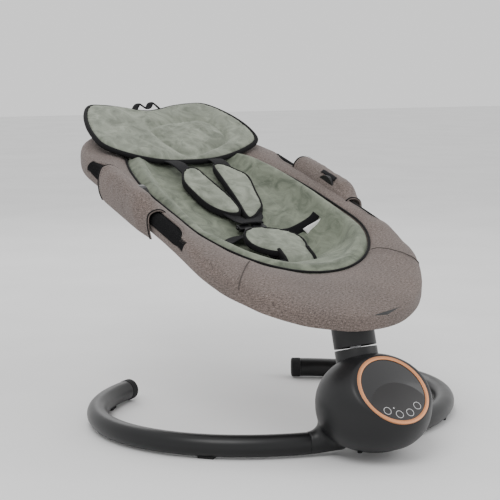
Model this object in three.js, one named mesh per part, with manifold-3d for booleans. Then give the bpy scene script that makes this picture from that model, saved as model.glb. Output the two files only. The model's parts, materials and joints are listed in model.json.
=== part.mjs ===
// Baby swing: a C-shaped floor base with a round motor housing, a leaning stem, and a reclining
// seat on an oval tube frame. Millimetres, +Z up, the foot end towards -Y and the head end towards +Y.
// The model is laid out from the point where the stem's axis meets the floor. The last lines move it
// so that the origin is under the middle of its bounding box.
import * as THREE from "three";
import { mergeVertices } from "three/addons/utils/BufferGeometryUtils.js";
import { ConvexGeometry } from "three/addons/geometries/ConvexGeometry.js";
import Module from "manifold-3d";

const wasm = await Module();
wasm.setup();

const degrees = Math.PI / 180;
const gap = 0.4; // between pieces that touch on the real object
const running = 0.5; // between pieces that turn or slide on each other

// ---------- driving dimensions ----------
const ring = {
  tubeRadius: 17.5,
  wall: 1.8,
  halfWidth: 316, // of the tube's centre line
  halfDepth: 258,
  centreY: 295,
  padHeight: 2.5, // how far the rubber feet stand out under the tubes
  jointAngle: 16.5 * degrees, // where the housing's stubs end, from the front
  endAngle: 143.5 * degrees, // where the tubes end at the back
  capLength: 17,
};
ring.z = ring.tubeRadius + ring.padHeight;

const stem = {
  lean: 17.2 * degrees, // backwards from vertical
  radius: 34,
  wall: 4,
  lowerTop: 168, // distances along the stem's axis from the floor
  slit: 3,
  upperTop: 220,
  shaftRadius: 9,
  shaftBottom: 46,
  hubThickness: 11,
  hubRadius: 26,
};

const bearing = {
  radius: 15,
  lowerFrom: stem.shaftBottom - 0.5,
  lowerTo: stem.shaftBottom + 8,
  upperFrom: 146,
  upperTo: 158,
  seatRadius: 19,
  seatRise: 12,
};
const drive = {
  reach: 38, // the magnet's distance from the stem's axis
  coilFrom: 92,
  coilTo: 104,
  coilRadius: 14,
  coilBore: 6,
  postRadius: 5,
  magnetRadius: 11,
  magnetFrom: 108,
  magnetTo: 120,
  clampRadius: 16,
  clampFrom: 112,
  clampTo: 122,
  armWidth: 14,
};

const housing = {
  radius: 91,
  halfHeight: 75,
  centreZ: 85,
  chinPower: 2.4, // how square its lower half is: 2 is an ellipse
  wall: 3,
  splitZ: 22, // where the tray closes it from below
  neckAngle: 6 * degrees,
  neckRadius: 27,
  neckRise: 12,
  screwCircle: 49,
};
const socket = { radius: 5.5, bore: 3, length: 18, z: 44 };

const panel = {
  centreY: -50.6,
  centreZ: 115.4,
  lean: 44 * degrees, // the face leans back this far from vertical
  radius: 60.5, // outer edge of the metal ring
  ringWidth: 6,
  ringThickness: 3,
  glassThickness: 3,
  bezel: 2.5, // housing left standing around the ring
};

const rim = {
  halfWidth: 208,
  footTip: 10,
  footCentre: 225,
  headCentre: 600,
  headTip: 800,
  thickness: 34,
};
const opening = { halfWidth: 171, footTip: 125, footCentre: 300, headCentre: 400, headTip: 745 };
const slope = {
  back: 15.5 * degrees, // the seat's incline at rest
  foot: 25 * degrees, // the foot end dips more steeply
  bendY: 235,
  bendRadius: 30,
};
const hinge = {
  y: 422,
  rimZ: 379, // height of the rim over the hinge
  drop: 8, // of the hinge line below the rim
  recline: 22 * degrees, // how far the backrest comes up
  discRadius: 29,
  inner: -8, // faces of the two discs, outwards from the frame tube's centre line
  split: 7,
  outer: 22,
  pinRadius: 4,
  buttonSeat: 13,
  buttonRadius: 9,
  buttonTravel: 4,
  buttonStandsOut: 1,
};
const frameTube = { radius: 8, wall: 1.5, drop: 14 };
// The frame tubes' centre line in plan, inside the cloth roll of the rim.
const frameLine = { halfWidth: 195, footTip: 19, footCentre: 225, headCentre: 600, headTip: 787 };
hinge.z = hinge.rimZ - hinge.drop;

const cushion = {
  thickness: 13,
  edgeDrop: 9, // of its edge below the rim
  depth: 74,
  deepestY: 285,
  footReach: 90, // how fast the bowl rises towards the foot end and the head end
  headReach: 210,
  bowlPower: 1.2,
  wallPower: 2.4,
  rollAt: 0.86, // the padded roll along its edge, as a share of the way from the middle to the edge
  rollWidth: 0.1,
  rollHeight: 34,
  footRoll: 20,
  headRoll: 10,
};
const cover = {
  clothThickness: 4,
  slack: 1,
  edgeRise: 2, // of the roll's crest above the rim line
  skirtDrop: 14, // how much further it hangs down in front of the stem
  skirtY: 66,
  skirtLength: 70,
  skirtWidth: 100,
  notchInner: 178, // where the cloth is open over the frame tube
  notchFront: 246,
  notchBack: 602,
};
const hingeCut = 1.5; // half the gap between the soft pieces in front of the hinge and behind it

const webbing = { width: 24, thickness: 1.8, lift: 3.5 };
const pad = { width: 62, length: 120, thickness: 12, edge: 4, behindHinge: 4, outward: 4, turn: 0.12 };
const crotchPad = {
  width: 82,
  length: 108,
  thickness: 13,
  edge: 5,
  foot: 236,
  footLift: 8,
  headLift: 27,
  curl: 6, // how far its sides curl up
};
const buckle = {
  y: 350,
  width: 46,
  length: 36,
  height: 13,
  corner: 8,
  floor: 4,
  lift: 10, // above the cushion
  tilt: 24 * degrees,
  buttonRadius: 9,
  buttonTravel: 3,
};
const tongue = { x: 12, headX: 15, head: 9.4, slotWidth: 15, slotHeight: 4 };
const waist = { fromX: 36, toX: 124, foot: 2, drift: 8, lift: 4 };
const pillow = {
  halfWidth: 162,
  foot: 606,
  head: 780,
  footZ: 413,
  headZ: 492,
  taper: 0.13, // narrower towards the head
  sideLift: 30,
  thickness: 26,
  edge: 6,
  clearance: 5,
};
const flap = { from: 388, to: 530, halfWidth: 27.5, halfHeight: 33, drop: 8, lip: 8, corner: 8, cloth: 2.5 };
const cuff = { outerRadius: 13.5, frontFrom: 264, frontTo: 374, backFrom: 470, backTo: 590 };

// ---------- solids ----------
// A closed three.js geometry as a manifold-3d solid, without its slivers of no area.
function solidOf(geometry) {
  const bare = (geometry.index ? geometry.toNonIndexed() : geometry.clone());
  bare.deleteAttribute("normal");
  bare.deleteAttribute("uv");
  const merged = mergeVertices(bare, 1e-3);
  const index = merged.index.array;
  const kept = [];
  for (let i = 0; i < index.length; i += 3) {
    const [a, b, c] = [index[i], index[i + 1], index[i + 2]];
    if (a !== b && b !== c && c !== a) kept.push(a, b, c);
  }
  const vertProperties = merged.attributes.position.array;
  const triVerts = new Uint32Array(kept);
  return new wasm.Manifold(new wasm.Mesh({ numProp: 3, vertProperties, triVerts }));
}

function geometryOf(solid) {
  const { vertProperties, triVerts } = solid.getMesh();
  const geometry = new THREE.BufferGeometry();
  geometry.setAttribute("position", new THREE.BufferAttribute(vertProperties, 3));
  geometry.setIndex(new THREE.BufferAttribute(triVerts, 1));
  return geometry;
}

const without = (geometry, ...cutters) =>
  geometryOf(cutters.reduce((left, cutter) => left.subtract(solidOf(cutter)), solidOf(geometry)));
const joined = (...geometries) =>
  geometryOf(geometries.map(solidOf).reduce((all, next) => all.add(next)));
const within = (geometry, bounds) => geometryOf(solidOf(geometry).intersect(solidOf(bounds)));

// A solid turned about Z from a profile of [radius, height] points, which closes on itself or on the axis.
function turned(profile, segments = 32) {
  const area = profile.reduce((sum, [r, z], i) => {
    const [nextR, nextZ] = profile[(i + 1) % profile.length];
    return sum + r * nextZ - nextR * z;
  }, 0);
  const points = (area < 0 ? [...profile].reverse() : profile).map(([r, z]) => new THREE.Vector2(r, z));
  if (points[0].x > 0) points.push(points[0].clone());
  return new THREE.LatheGeometry(points, segments).rotateX(Math.PI / 2);
}
const rod = (radius, from, to, segments) => turned([[0, from], [radius, from], [radius, to], [0, to]], segments);
const collar = (inner, outer, from, to, segments) =>
  turned([[inner, from], [outer, from], [outer, to], [inner, to]], segments);

// Turns a piece that was made along Z so that it lies along the stem's axis.
const onStem = (geometry) => geometry.rotateX(-stem.lean);
// Turns a piece that was made along Z so that it lies along +X or -X.
const across = (geometry, side) => geometry.rotateY((side * Math.PI) / 2);

function box(width, depth, height, x, y, z, tilt = 0) {
  return new THREE.BoxGeometry(width, depth, height).rotateX(tilt).translate(x, y, z);
}

function sweep(curve, outer, inner, sides, steps) {
  const section = new THREE.Shape().absarc(0, 0, outer, 0, 2 * Math.PI);
  if (inner > 0) section.holes.push(new THREE.Path().absarc(0, 0, inner, 0, 2 * Math.PI, true));
  return new THREE.ExtrudeGeometry(section, {
    steps,
    curveSegments: sides,
    bevelEnabled: false,
    extrudePath: curve,
  });
}

const curveThrough = (points) => new THREE.CatmullRomCurve3(points.map((p) => new THREE.Vector3(...p)));
const spaced = (from, to, count) =>
  Array.from({ length: count }, (_, i) => from + ((to - from) * i) / (count - 1));

// ---------- base ring ----------
const ringPoint = (angle) => [
  ring.halfWidth * Math.sin(angle),
  ring.centreY - ring.halfDepth * Math.cos(angle),
  ring.z,
];
class RingCurve extends THREE.Curve {
  constructor(from, to) {
    super();
    this.from = from;
    this.to = to;
  }
  getPoint(t, target = new THREE.Vector3()) {
    return target.set(...ringPoint(THREE.MathUtils.lerp(this.from, this.to, t)));
  }
}
// The ring's angle per millimetre of tube at a given angle.
const ringStep = (angle) =>
  1 / Math.hypot(ring.halfWidth * Math.cos(angle), ring.halfDepth * Math.sin(angle));

function legTube(side) {
  const start = ring.jointAngle + gap * ringStep(ring.jointAngle);
  const inner = ring.tubeRadius - ring.wall;
  return sweep(new RingCurve(side * start, side * ring.endAngle), ring.tubeRadius, inner, 8, 22);
}

function legCap(side) {
  const reach = ring.endAngle + (gap + ring.capLength) * ringStep(ring.endAngle);
  const from = ring.endAngle + gap * ringStep(ring.endAngle);
  return sweep(new RingCurve(side * from, side * reach), ring.tubeRadius + 0.8, 0, 12, 2);
}

// A rubber foot under a tube: a slab, hollowed on top by the tube it is glued to.
function foot(angle) {
  const [x, y] = ringPoint(angle);
  const slab = new THREE.BoxGeometry(26, 16, 7).rotateZ(angle).translate(x, y, 3.5);
  const tube = sweep(new RingCurve(angle - 0.12, angle + 0.12), ring.tubeRadius + gap, 0, 16, 4);
  return without(slab, tube);
}

// ---------- housing ----------
const turns = (count) => spaced(0, 2 * Math.PI, count + 1).slice(1);
const hullOf = (points) => new ConvexGeometry(points.map((p) => new THREE.Vector3(...p)));

// How far a point stands out of the panel's plane.
const beyondPanel = ([, y, z]) =>
  (z - panel.centreZ) * Math.sin(panel.lean) - (y - panel.centreY) * Math.cos(panel.lean);

// The housing's ball, cut off where the panel sits, shrunk all round by an inset.
function ballHull(inset) {
  const radius = housing.radius - inset;
  const halfHeight = housing.halfHeight - inset;
  const levels = [-0.995, -0.94, -0.83, -0.65, -0.42, -0.15, 0.15, 0.42, 0.65, 0.83, 0.95, 0.995];
  const ball = levels.flatMap((level) => {
    const power = level < 0 ? housing.chinPower : 2;
    const reach = radius * (1 - Math.abs(level) ** power) ** (1 / power);
    return turns(24).map((angle) => [
      reach * Math.cos(angle),
      reach * Math.sin(angle),
      housing.centreZ + halfHeight * level,
    ]);
  });
  const bezel = turns(36).map((angle) => onPanel(panel.radius + panel.bezel - inset, angle, -2 * inset));
  return hullOf([...ball.filter((point) => beyondPanel(point) < -2 * inset), ...bezel]);
}

// A point in the panel's plane at a radius and an angle, raised by a height along its outward normal.
function onPanel(radius, angle, height) {
  const up = radius * Math.sin(angle);
  return [
    radius * Math.cos(angle),
    panel.centreY + up * Math.sin(panel.lean) - height * Math.cos(panel.lean),
    panel.centreZ + up * Math.cos(panel.lean) + height * Math.sin(panel.lean),
  ];
}
const facingOut = (geometry) =>
  geometry.rotateX(Math.PI / 2 - panel.lean).translate(0, panel.centreY, panel.centreZ);

// The neck that runs from the ball out to a leg tube, shrunk by an inset and drawn out past its ends.
function neckHull(side, inset, reach = 0) {
  const circle = (angle, radius, rise) => {
    const [x, y, z] = ringPoint(angle);
    const [outX, outY] = [ring.halfDepth * Math.sin(angle), -ring.halfWidth * Math.cos(angle)];
    const length = Math.hypot(outX, outY);
    return turns(16).map((turn) => {
      const out = (radius * Math.cos(turn)) / length;
      return [x + out * outX, y + out * outY, z + rise + radius * Math.sin(turn)];
    });
  };
  const root = [0, reach].flatMap((extra) =>
    circle(side * (housing.neckAngle - extra), housing.neckRadius - inset, housing.neckRise));
  const tip = circle(side * (ring.jointAngle + reach / 4), ring.tubeRadius - inset, 0);
  return hullOf([...root, ...tip]);
}

const screwPlaces = [90, 210, 330].map((angle) => [
  housing.screwCircle * Math.cos(angle * degrees),
  housing.screwCircle * Math.sin(angle * degrees),
]);
const screw = { radius: 1.8, headRadius: 3.8, headHeight: 2.3, seatZ: 18.6, length: 14 };
const below = (z) => box(600, 600, 200, 0, 0, z - 100);

// The bore at a neck's end, which opens it towards the leg tube.
const stub = (side) =>
  sweep(
    new RingCurve(side * (ring.jointAngle - 0.02), side * (ring.jointAngle + 0.1)),
    ring.tubeRadius - housing.wall - 0.6,
    0,
    7,
    2,
  );

function baseShell() {
  const bosses = screwPlaces.map(([x, y]) =>
    within(rod(5, housing.splitZ, housing.splitZ + 12, 12).translate(x, y, 0), ballHull(0)));
  const holes = screwPlaces.map(([x, y]) => rod(screw.radius + gap, 0, 50, 8).translate(x, y, 0));
  const outside = joined(without(ballHull(0), below(housing.splitZ)), neckHull(-1, 0), neckHull(1, 0));
  const hollow = joined(
    without(ballHull(housing.wall), below(housing.splitZ)),
    neckHull(-1, housing.wall, 0.05),
    neckHull(1, housing.wall, 0.05),
    stub(-1),
    stub(1),
  );
  return without(
    joined(without(outside, hollow), ...bosses),
    facingOut(rod(panel.radius + gap, -panel.ringThickness - gap, 20, 40)),
    onStem(rod(stem.radius + gap, 100, 260, 30)),
    rod(socket.radius + gap, 40, 100, 12).rotateX(-Math.PI / 2).translate(0, 0, socket.z),
    ...holes,
  );
}

function baseTray() {
  const cap = within(ballHull(0), below(housing.splitZ - gap));
  const seatTop = stem.shaftBottom + bearing.seatRise;
  const aboveFloor = box(90, 90, 200, 0, 0, 114);
  const bearingSeat = within(onStem(rod(bearing.seatRadius, 0, seatTop, 20)), aboveFloor);
  const coilPost = sweep(curveThrough([[0, 20, 17], coilBottom()]), drive.postRadius, 0, 8, 1);
  return without(
    joined(cap, bearingSeat, coilPost),
    onStem(rod(bearing.radius + gap, stem.shaftBottom - 1, 2 * stem.shaftBottom, 20)),
    neckHull(-1, -gap, 0.02),
    neckHull(1, -gap, 0.02),
    ...screwPlaces.flatMap(([x, y]) => [
      rod(screw.radius + gap, 0, 60, 8).translate(x, y, 0),
      rod(screw.headRadius + gap, 0, screw.seatZ, 12).translate(x, y, 0),
    ]),
  );
}
const screwSolid = ([x, y]) => {
  const top = screw.seatZ - gap;
  const profile = [[0, top - screw.headHeight], [screw.headRadius, top - screw.headHeight],
    [screw.headRadius, top], [screw.radius, top], [screw.radius, top + screw.length], [0, top + screw.length]];
  return turned(profile, 12).translate(x, y, 0);
};

const trimRing = () =>
  facingOut(collar(panel.radius - panel.ringWidth, panel.radius, -panel.ringThickness, 0, 48));
const controlPanel = () =>
  facingOut(rod(panel.radius - panel.ringWidth - gap, -panel.glassThickness, -0.6, 48));
const controlBoard = () => facingOut(rod(44, -9.5, -7.7, 24));
const speaker = () =>
  turned([[0, 25], [9, 25], [11, 31], [15, 36], [15, 39], [0, 39]], 20).translate(0, -33, 0);
const powerSocket = () =>
  joined(collar(socket.bore, socket.radius, 0, socket.length, 16), rod(socket.radius, -4, 0.1, 16))
    .rotateX(-Math.PI / 2).translate(0, 78 - socket.length, socket.z);

// ---------- stem and drive ----------
const stemBase = () => onStem(collar(stem.radius - stem.wall, stem.radius, 128, stem.lowerTop, 36));
const lowerBearing = () =>
  onStem(collar(stem.shaftRadius + gap, bearing.radius, bearing.lowerFrom, bearing.lowerTo, 20));
const upperBearing = () =>
  onStem(collar(stem.shaftRadius + gap, stem.radius - stem.wall - gap, bearing.upperFrom, bearing.upperTo, 24));
const shaft = () => onStem(rod(stem.shaftRadius, stem.shaftBottom, stem.upperTop + stem.hubThickness, 18));
const stemSleeve = () => {
  const bottom = stem.lowerTop + stem.slit;
  const inner = stem.radius - stem.wall;
  const bore = stem.shaftRadius + gap;
  return onStem(
    turned([[bore, stem.upperTop - 6], [inner, stem.upperTop - 6], [inner, bottom], [stem.radius, bottom],
      [stem.radius, stem.upperTop], [bore, stem.upperTop]], 36),
  );
};
// The arm under the upper bearing that carries the drive magnet over the coil.
function magnetArm() {
  const clamp = rod(drive.clampRadius, drive.clampFrom, drive.clampTo, 20);
  const armMiddle = (drive.clampFrom + drive.clampTo) / 2;
  const arm = new THREE.BoxGeometry(drive.armWidth, 30, 6).translate(0, drive.reach - 14, armMiddle);
  const magnet = rod(drive.magnetRadius, drive.magnetFrom, drive.magnetTo, 16).translate(0, drive.reach, 0);
  const shaftHole = rod(stem.shaftRadius + gap, drive.magnetFrom - 8, drive.clampTo + 8, 18);
  return onStem(without(joined(clamp, arm, magnet), shaftHole));
}
const driveCoil = () =>
  onStem(collar(drive.coilBore, drive.coilRadius, drive.coilFrom, drive.coilTo, 20).translate(0, drive.reach, 0));
// The top of the post under the coil.
function coilBottom() {
  const [along, behind] = [drive.coilFrom - 2, drive.reach];
  const [sin, cos] = [Math.sin(stem.lean), Math.cos(stem.lean)];
  return [0, along * sin + behind * cos, along * cos - behind * sin];
}

const frameHeight = (y) => rimHeight(y) - frameTube.drop;
// The hub on top of the stem and its four arms to the front frame tube, grown all round by a clearance.
function bracketSolid(clearance) {
  const [from, to] = [stem.upperTop + gap - clearance, stem.upperTop + stem.hubThickness + clearance];
  const middle = (from + to) / 2;
  const centre = [0, middle * Math.sin(stem.lean), middle * Math.cos(stem.lean)];
  const arms = bracketReach.map((x) => {
    const y = frameY(x);
    return sweep(curveThrough([centre, [x, y, frameHeight(y)]]), 6 + clearance, 0, 5, 1);
  });
  return joined(onStem(rod(stem.hubRadius + clearance, from, to, 20)), ...arms);
}
const bracketReach = [-150, -58, 58, 150];
const seatBracket = () =>
  without(
    bracketSolid(0),
    frameSolid(-1, frameTube.radius + gap),
    onStem(rod(stem.shaftRadius + gap, 150, 300, 18)),
    onStem(rod(stem.radius + 4, 100, stem.upperTop + gap, 20)),
  );

// ---------- seat surfaces ----------
const softplus = (t) => Math.log1p(Math.exp(-Math.abs(t))) + Math.max(t, 0);

// The height of the seat's rim at a place along it.
function rimHeight(y) {
  const bend = slope.bendRadius * softplus((slope.bendY - y) / slope.bendRadius);
  return hinge.rimZ + Math.tan(slope.back) * (y - hinge.y) - (Math.tan(slope.foot) - Math.tan(slope.back)) * bend;
}

// A point on an egg outline in plan: half an ellipse at each end, and straight sides between them.
function eggPoint(egg, angle, way = Math.sign(Math.sin(angle))) {
  const [c, s] = [Math.cos(angle), Math.sin(angle)];
  const reach = way < 0 ? egg.footCentre - egg.footTip : egg.headTip - egg.headCentre;
  const centre = way < 0 ? egg.footCentre : egg.headCentre;
  return [egg.halfWidth * c, centre + reach * s];
}
// Where the front frame tube is at a distance to the side.
const frameY = (x) =>
  frameLine.footCentre - (frameLine.footCentre - frameLine.footTip) * Math.sqrt(1 - (x / frameLine.halfWidth) ** 2);

// How far across the opening a point is: 0 on the middle line and 1 on the opening's edge.
function share(x, y) {
  const centre = THREE.MathUtils.clamp(y, opening.footCentre, opening.headCentre);
  const reach = y < centre ? opening.footCentre - opening.footTip : opening.headTip - opening.headCentre;
  return Math.hypot(x / opening.halfWidth, (y - centre) / reach);
}
// How deep the seat is along its middle line.
function middleDepth(y) {
  const reach = y < cushion.deepestY ? cushion.footReach : cushion.headReach;
  return cushion.depth * Math.exp(-((Math.abs(y - cushion.deepestY) / reach) ** cushion.bowlPower));
}
// How high the padded roll along the edge is: lower at the foot end, and almost flat under the pillow.
function rollHeight(y) {
  const fromFoot = THREE.MathUtils.smoothstep(y, opening.footTip, cushion.deepestY);
  const toHead = THREE.MathUtils.smoothstep(y, pillow.foot - 40, pillow.foot + 60);
  const beforeHead = THREE.MathUtils.lerp(cushion.footRoll, cushion.rollHeight, fromFoot);
  return THREE.MathUtils.lerp(beforeHead, cushion.headRoll, toHead);
}
function cushionTop(x, y) {
  const out = Math.min(share(x, y), 1);
  const roll = rollHeight(y) * Math.exp(-(((out - cushion.rollAt) / cushion.rollWidth) ** 2));
  return rimHeight(y) - cushion.edgeDrop + roll - middleDepth(y) * (1 - out ** cushion.wallPower);
}

// A solid between two height functions over a stack of closed plan rings, from the middle outwards.
function sheetSolid(rings, top, bottom) {
  const positions = [];
  const put = (...points) => points.forEach((p) => positions.push(...p));
  const count = rings[0].length;
  const raised = (height) => rings.map((level) => level.map(([x, y]) => [x, y, height(x, y)]));
  const [upper, lower] = [raised(top), raised(bottom)];
  const last = rings.length - 1;
  for (let i = 0; i < count; i++) {
    const j = (i + 1) % count;
    for (let k = 0; k < last; k++) {
      const [a, b, c, d] = [upper[k][i], upper[k + 1][i], upper[k + 1][j], upper[k][j]];
      put(a, b, c, a, c, d);
      const [e, f, g, h] = [lower[k][i], lower[k + 1][i], lower[k + 1][j], lower[k][j]];
      put(e, g, f, e, h, g);
    }
    put(upper[last][i], lower[last][i], lower[last][j], upper[last][i], lower[last][j], upper[last][j]);
  }
  const geometry = new THREE.BufferGeometry();
  geometry.setAttribute("position", new THREE.Float32BufferAttribute(positions, 3));
  return geometryOf(solidOf(geometry));
}

const seatSteps = 48;
const seatShares = [0, 0.35, 0.62, 0.75, 0.86, 0.96];
const coverShares = [0.985]; // the cover's sling reaches a little further out than the cushion
const rollShares = [0.04, 0.4, 0.75, 1]; // across the cloth roll, from the opening to the rim
const seatAngle = (i) => ((i + 0.5) / seatSteps) * 2 * Math.PI;
// Plan rings from the seat's middle line to the opening's edge, and on to the rim if asked for.
function seatRings(shares, rimShares) {
  const spine = (angle) => [0, 425 + 150 * Math.sin(angle)];
  const mix = (from, to, t) => from.map((v, i) => v + (to[i] - v) * t);
  const angles = Array.from({ length: seatSteps }, (_, i) => seatAngle(i));
  const inner = shares.map((t) => angles.map((angle) => mix(spine(angle), eggPoint(opening, angle), t)));
  const outer = rimShares.map((t) =>
    angles.map((angle) => mix(eggPoint(opening, angle), eggPoint(rim, angle), t)));
  return [...inner, ...outer];
}

const half = 500; // of a block that is larger than the seat
const beforeHinge = () => box(2 * half, 2 * half, 3 * half, 0, hinge.y - half - hingeCut, half);
// Behind the hinge the cut also leans back above the hinge line, to leave room for the recline.
const behindHinge = () => {
  const leaning = box(2 * half, 2 * half, 3 * half, 0, half + hingeCut, 0)
    .rotateX(-hinge.recline).translate(0, hinge.y, hinge.z);
  return within(box(2 * half, 2 * half, 3 * half, 0, hinge.y + half + hingeCut, half), leaning);
};

function cushionSolid() {
  return sheetSolid(seatRings(seatShares, []), cushionTop, (x, y) => cushionTop(x, y) - cushion.thickness);
}

// The cloth cover: a roll round the frame at the rim, and a sling under the cushion.
function coverTop(x, y) {
  if (share(x, y) < 0.99) return cushionTop(x, y) - cushion.thickness - gap;
  const rise = (cushion.edgeDrop + cover.edgeRise) * Math.sin((rimShare(x, y) * Math.PI) / 1.45);
  return rimHeight(y) - cushion.edgeDrop + rise;
}
// How far a point is across the cloth roll: 0 at the opening's edge and 1 at the rim.
function rimShare(x, y) {
  const centre = THREE.MathUtils.clamp(y, rim.footCentre, rim.headCentre);
  const reach = y < centre ? rim.footCentre - rim.footTip : rim.headTip - rim.headCentre;
  const outward = Math.hypot(x / rim.halfWidth, (y - centre) / reach);
  return THREE.MathUtils.clamp(1 - (1 - outward) * (rim.halfWidth / (rim.halfWidth - opening.halfWidth)), 0, 1);
}
function coverBottom(x, y) {
  const fromStem = ((y - cover.skirtY) / cover.skirtLength) ** 2 + (x / cover.skirtWidth) ** 2;
  const roll = rimHeight(y) - rim.thickness - cover.skirtDrop * Math.exp(-fromStem);
  const out = share(x, y);
  if (out > 0.99) return roll;
  return Math.min(cushionTop(x, y) - cushion.thickness - gap - cover.clothThickness, roll + 8 * (1 - out));
}
function coverSolid() {
  const body = sheetSolid(seatRings([...seatShares, ...coverShares], rollShares), coverTop, coverBottom);
  const middle = (cover.notchFront + cover.notchBack) / 2;
  const length = (cover.notchBack - cover.notchFront) / Math.cos(slope.back);
  const notches = [-1, 1].map((side) =>
    box(80, length, 160, side * (cover.notchInner + 40), middle, rimHeight(middle), slope.back));
  return without(body, ...notches);
}
const frontCover = () =>
  without(
    within(coverSolid(), beforeHinge()),
    frameSolid(-1, frameTube.radius + cover.slack),
    bracketSolid(1),
    onStem(rod(stem.radius + running, 150, stem.upperTop + gap, 20)),
  );
const backCover = () =>
  without(within(coverSolid(), behindHinge()), frameSolid(1, frameTube.radius + cover.slack));

// ---------- frame and hinges ----------
const socketStart = hinge.discRadius + 2; // from the hinge line to the tubes' ends
const onFrame = ([x, y]) => [x, y, frameHeight(y)];

// The two tubes under the rim, each from hinge to hinge.
function frameCurve(way) {
  const sides = way < 0 ? [hinge.y - socketStart, 330, 270] : [hinge.y + socketStart, 500, 560];
  const bend = spaced(Math.PI, 0, 17).map((angle) => eggPoint(frameLine, way * angle, way));
  return curveThrough([
    ...sides.map((y) => [-frameLine.halfWidth, y]),
    ...bend,
    ...[...sides].reverse().map((y) => [frameLine.halfWidth, y]),
  ].map(onFrame));
}
const frameSolid = (way, radius, bore = 0) => sweep(frameCurve(way), radius, bore, 5, 28);
const frameTubeSolid = (way) => frameSolid(way, frameTube.radius, frameTube.radius - frameTube.wall);

// A round piece on the hinge line, between two distances outwards from the frame tube's centre line.
function onHinge(side, radius, from, to, segments) {
  const [start, end] = [frameLine.halfWidth + from, frameLine.halfWidth + to];
  return across(rod(radius, start, end, segments), side).translate(0, hinge.y, hinge.z);
}
// One half of a hinge: a disc, and a socket that takes the frame tube's end. way is -1 for the half that
// faces the foot end and 1 for the one on the backrest.
function hingeHalf(side, way) {
  const [from, to] = way < 0 ? [hinge.inner, hinge.split - 0.3] : [hinge.split + 0.3, hinge.outer];
  const [otherFrom, otherTo] = way < 0 ? [hinge.split, hinge.outer + 20] : [hinge.inner - 20, hinge.split];
  const ends = [hinge.discRadius - 6, socketStart + 14].map((reach) => hinge.y + way * reach);
  const socketCurve = curveThrough(ends.map((y) => [side * frameLine.halfWidth, y, frameHeight(y)]));
  const socket = without(
    sweep(socketCurve, 11, 0, 8, 1),
    onHinge(side, hinge.discRadius + 1, otherFrom, otherTo, 24),
  );
  const half = without(
    joined(onHinge(side, hinge.discRadius, from, to, 24), socket),
    frameSolid(way, frameTube.radius + gap),
    onHinge(side, hinge.pinRadius + gap, hinge.inner - 5, hinge.buttonSeat, 12),
  );
  if (way < 0) return half;
  return without(half, onHinge(side, hinge.buttonRadius + running, hinge.buttonSeat, hinge.outer + 5, 16));
}
const hingePin = (side) => onHinge(side, hinge.pinRadius, hinge.inner - 1, hinge.buttonSeat - 2, 12);
const reclineButton = (side) =>
  onHinge(
    side,
    hinge.buttonRadius,
    hinge.buttonSeat + hinge.buttonTravel,
    hinge.outer + hinge.buttonStandsOut,
    16,
  );

function frameStretch(side, from, to) {
  return curveThrough(spaced(from, to, 5).map((y) => onFrame([side * frameLine.halfWidth, y])));
}
const frameCuff = (side, from, to) =>
  sweep(frameStretch(side, from, to), cuff.outerRadius, frameTube.radius + gap, 12, 3);

// The cloth flap that wraps the hinge: a channel with rounded corners, open on the cushion's side.
function hingeFlap(side) {
  const [w, h, r, t] = [flap.halfWidth, flap.halfHeight, flap.corner, flap.cloth];
  const section = new THREE.Shape();
  section.moveTo(-flap.lip, h).lineTo(w - r, h).absarc(w - r, h - r, r, Math.PI / 2, 0, true)
    .lineTo(w, r - h).absarc(w - r, r - h, r, 0, -Math.PI / 2, true).lineTo(-flap.lip, -h)
    .lineTo(-flap.lip, t - h).lineTo(w - r, t - h).absarc(w - r, r - h, r - t, -Math.PI / 2, 0)
    .lineTo(w - t, h - r).absarc(w - r, h - r, r - t, 0, Math.PI / 2).lineTo(-flap.lip, h - t);
  const length = (flap.to - flap.from) / Math.cos(slope.back);
  const channel = new THREE.ExtrudeGeometry(section, { depth: length, bevelEnabled: false, curveSegments: 5 });
  if (side < 0) channel.rotateZ(Math.PI);
  const height = rimHeight(flap.from) - flap.drop;
  return channel.rotateX(-Math.PI / 2 + slope.back).translate(side * frameLine.halfWidth, flap.from, height);
}

// ---------- soft pieces that lie in the seat ----------
// Plan rings of an outline given as a function of angle, from its middle outwards.
const ringsOf = (outline, shares, steps, centre) =>
  shares.map((t) => spaced(0, 2 * Math.PI, steps + 1).slice(0, steps).map((angle) => {
    const [x, y] = outline(angle);
    return [centre[0] + (x - centre[0]) * t, centre[1] + (y - centre[1]) * t];
  }));
const power = (value, exponent) => Math.sign(value) * Math.abs(value) ** exponent;
// An outline with squarer corners than an ellipse's.
const roundedOutline = (centre, halfWidth, halfLength, turn = 0) => (angle) => {
  const x = halfWidth * power(Math.cos(angle), 0.6);
  const y = halfLength * power(Math.sin(angle), 0.6);
  return [
    centre[0] + x * Math.cos(turn) - y * Math.sin(turn),
    centre[1] + x * Math.sin(turn) + y * Math.cos(turn),
  ];
};
// A crowned pad over an underside, with its full thickness in the middle and less at its edge.
function padSolid(size, centre, outline, under, steps) {
  const top = (x, y) => {
    const out = Math.hypot((2 * (x - centre[0])) / size.width, ((2 * (y - centre[1])) / size.length) ** 2);
    const crown = Math.sqrt(Math.max(0, 1 - Math.min(1, out) ** 2));
    return under(x, y) + size.edge + (size.thickness - size.edge) * crown;
  };
  return sheetSolid(ringsOf(outline, [0, 0.5, 0.8, 1], steps, centre), top, under);
}
// A flat strap along +Y whose middle line is x = lineX(y).
function strapSolid(rungs, lineX, height) {
  const half = webbing.width / 2;
  const right = rungs.map((y) => [lineX(y) + half, y]);
  const left = [...rungs].reverse().map((y) => [lineX(y) - half, y]);
  const edge = [...right, ...left];
  return sheetSolid([edge.map(([, y]) => [lineX(y), y]), edge], (x, y) => height(y) + webbing.thickness,
    (x, y) => height(y));
}

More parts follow.
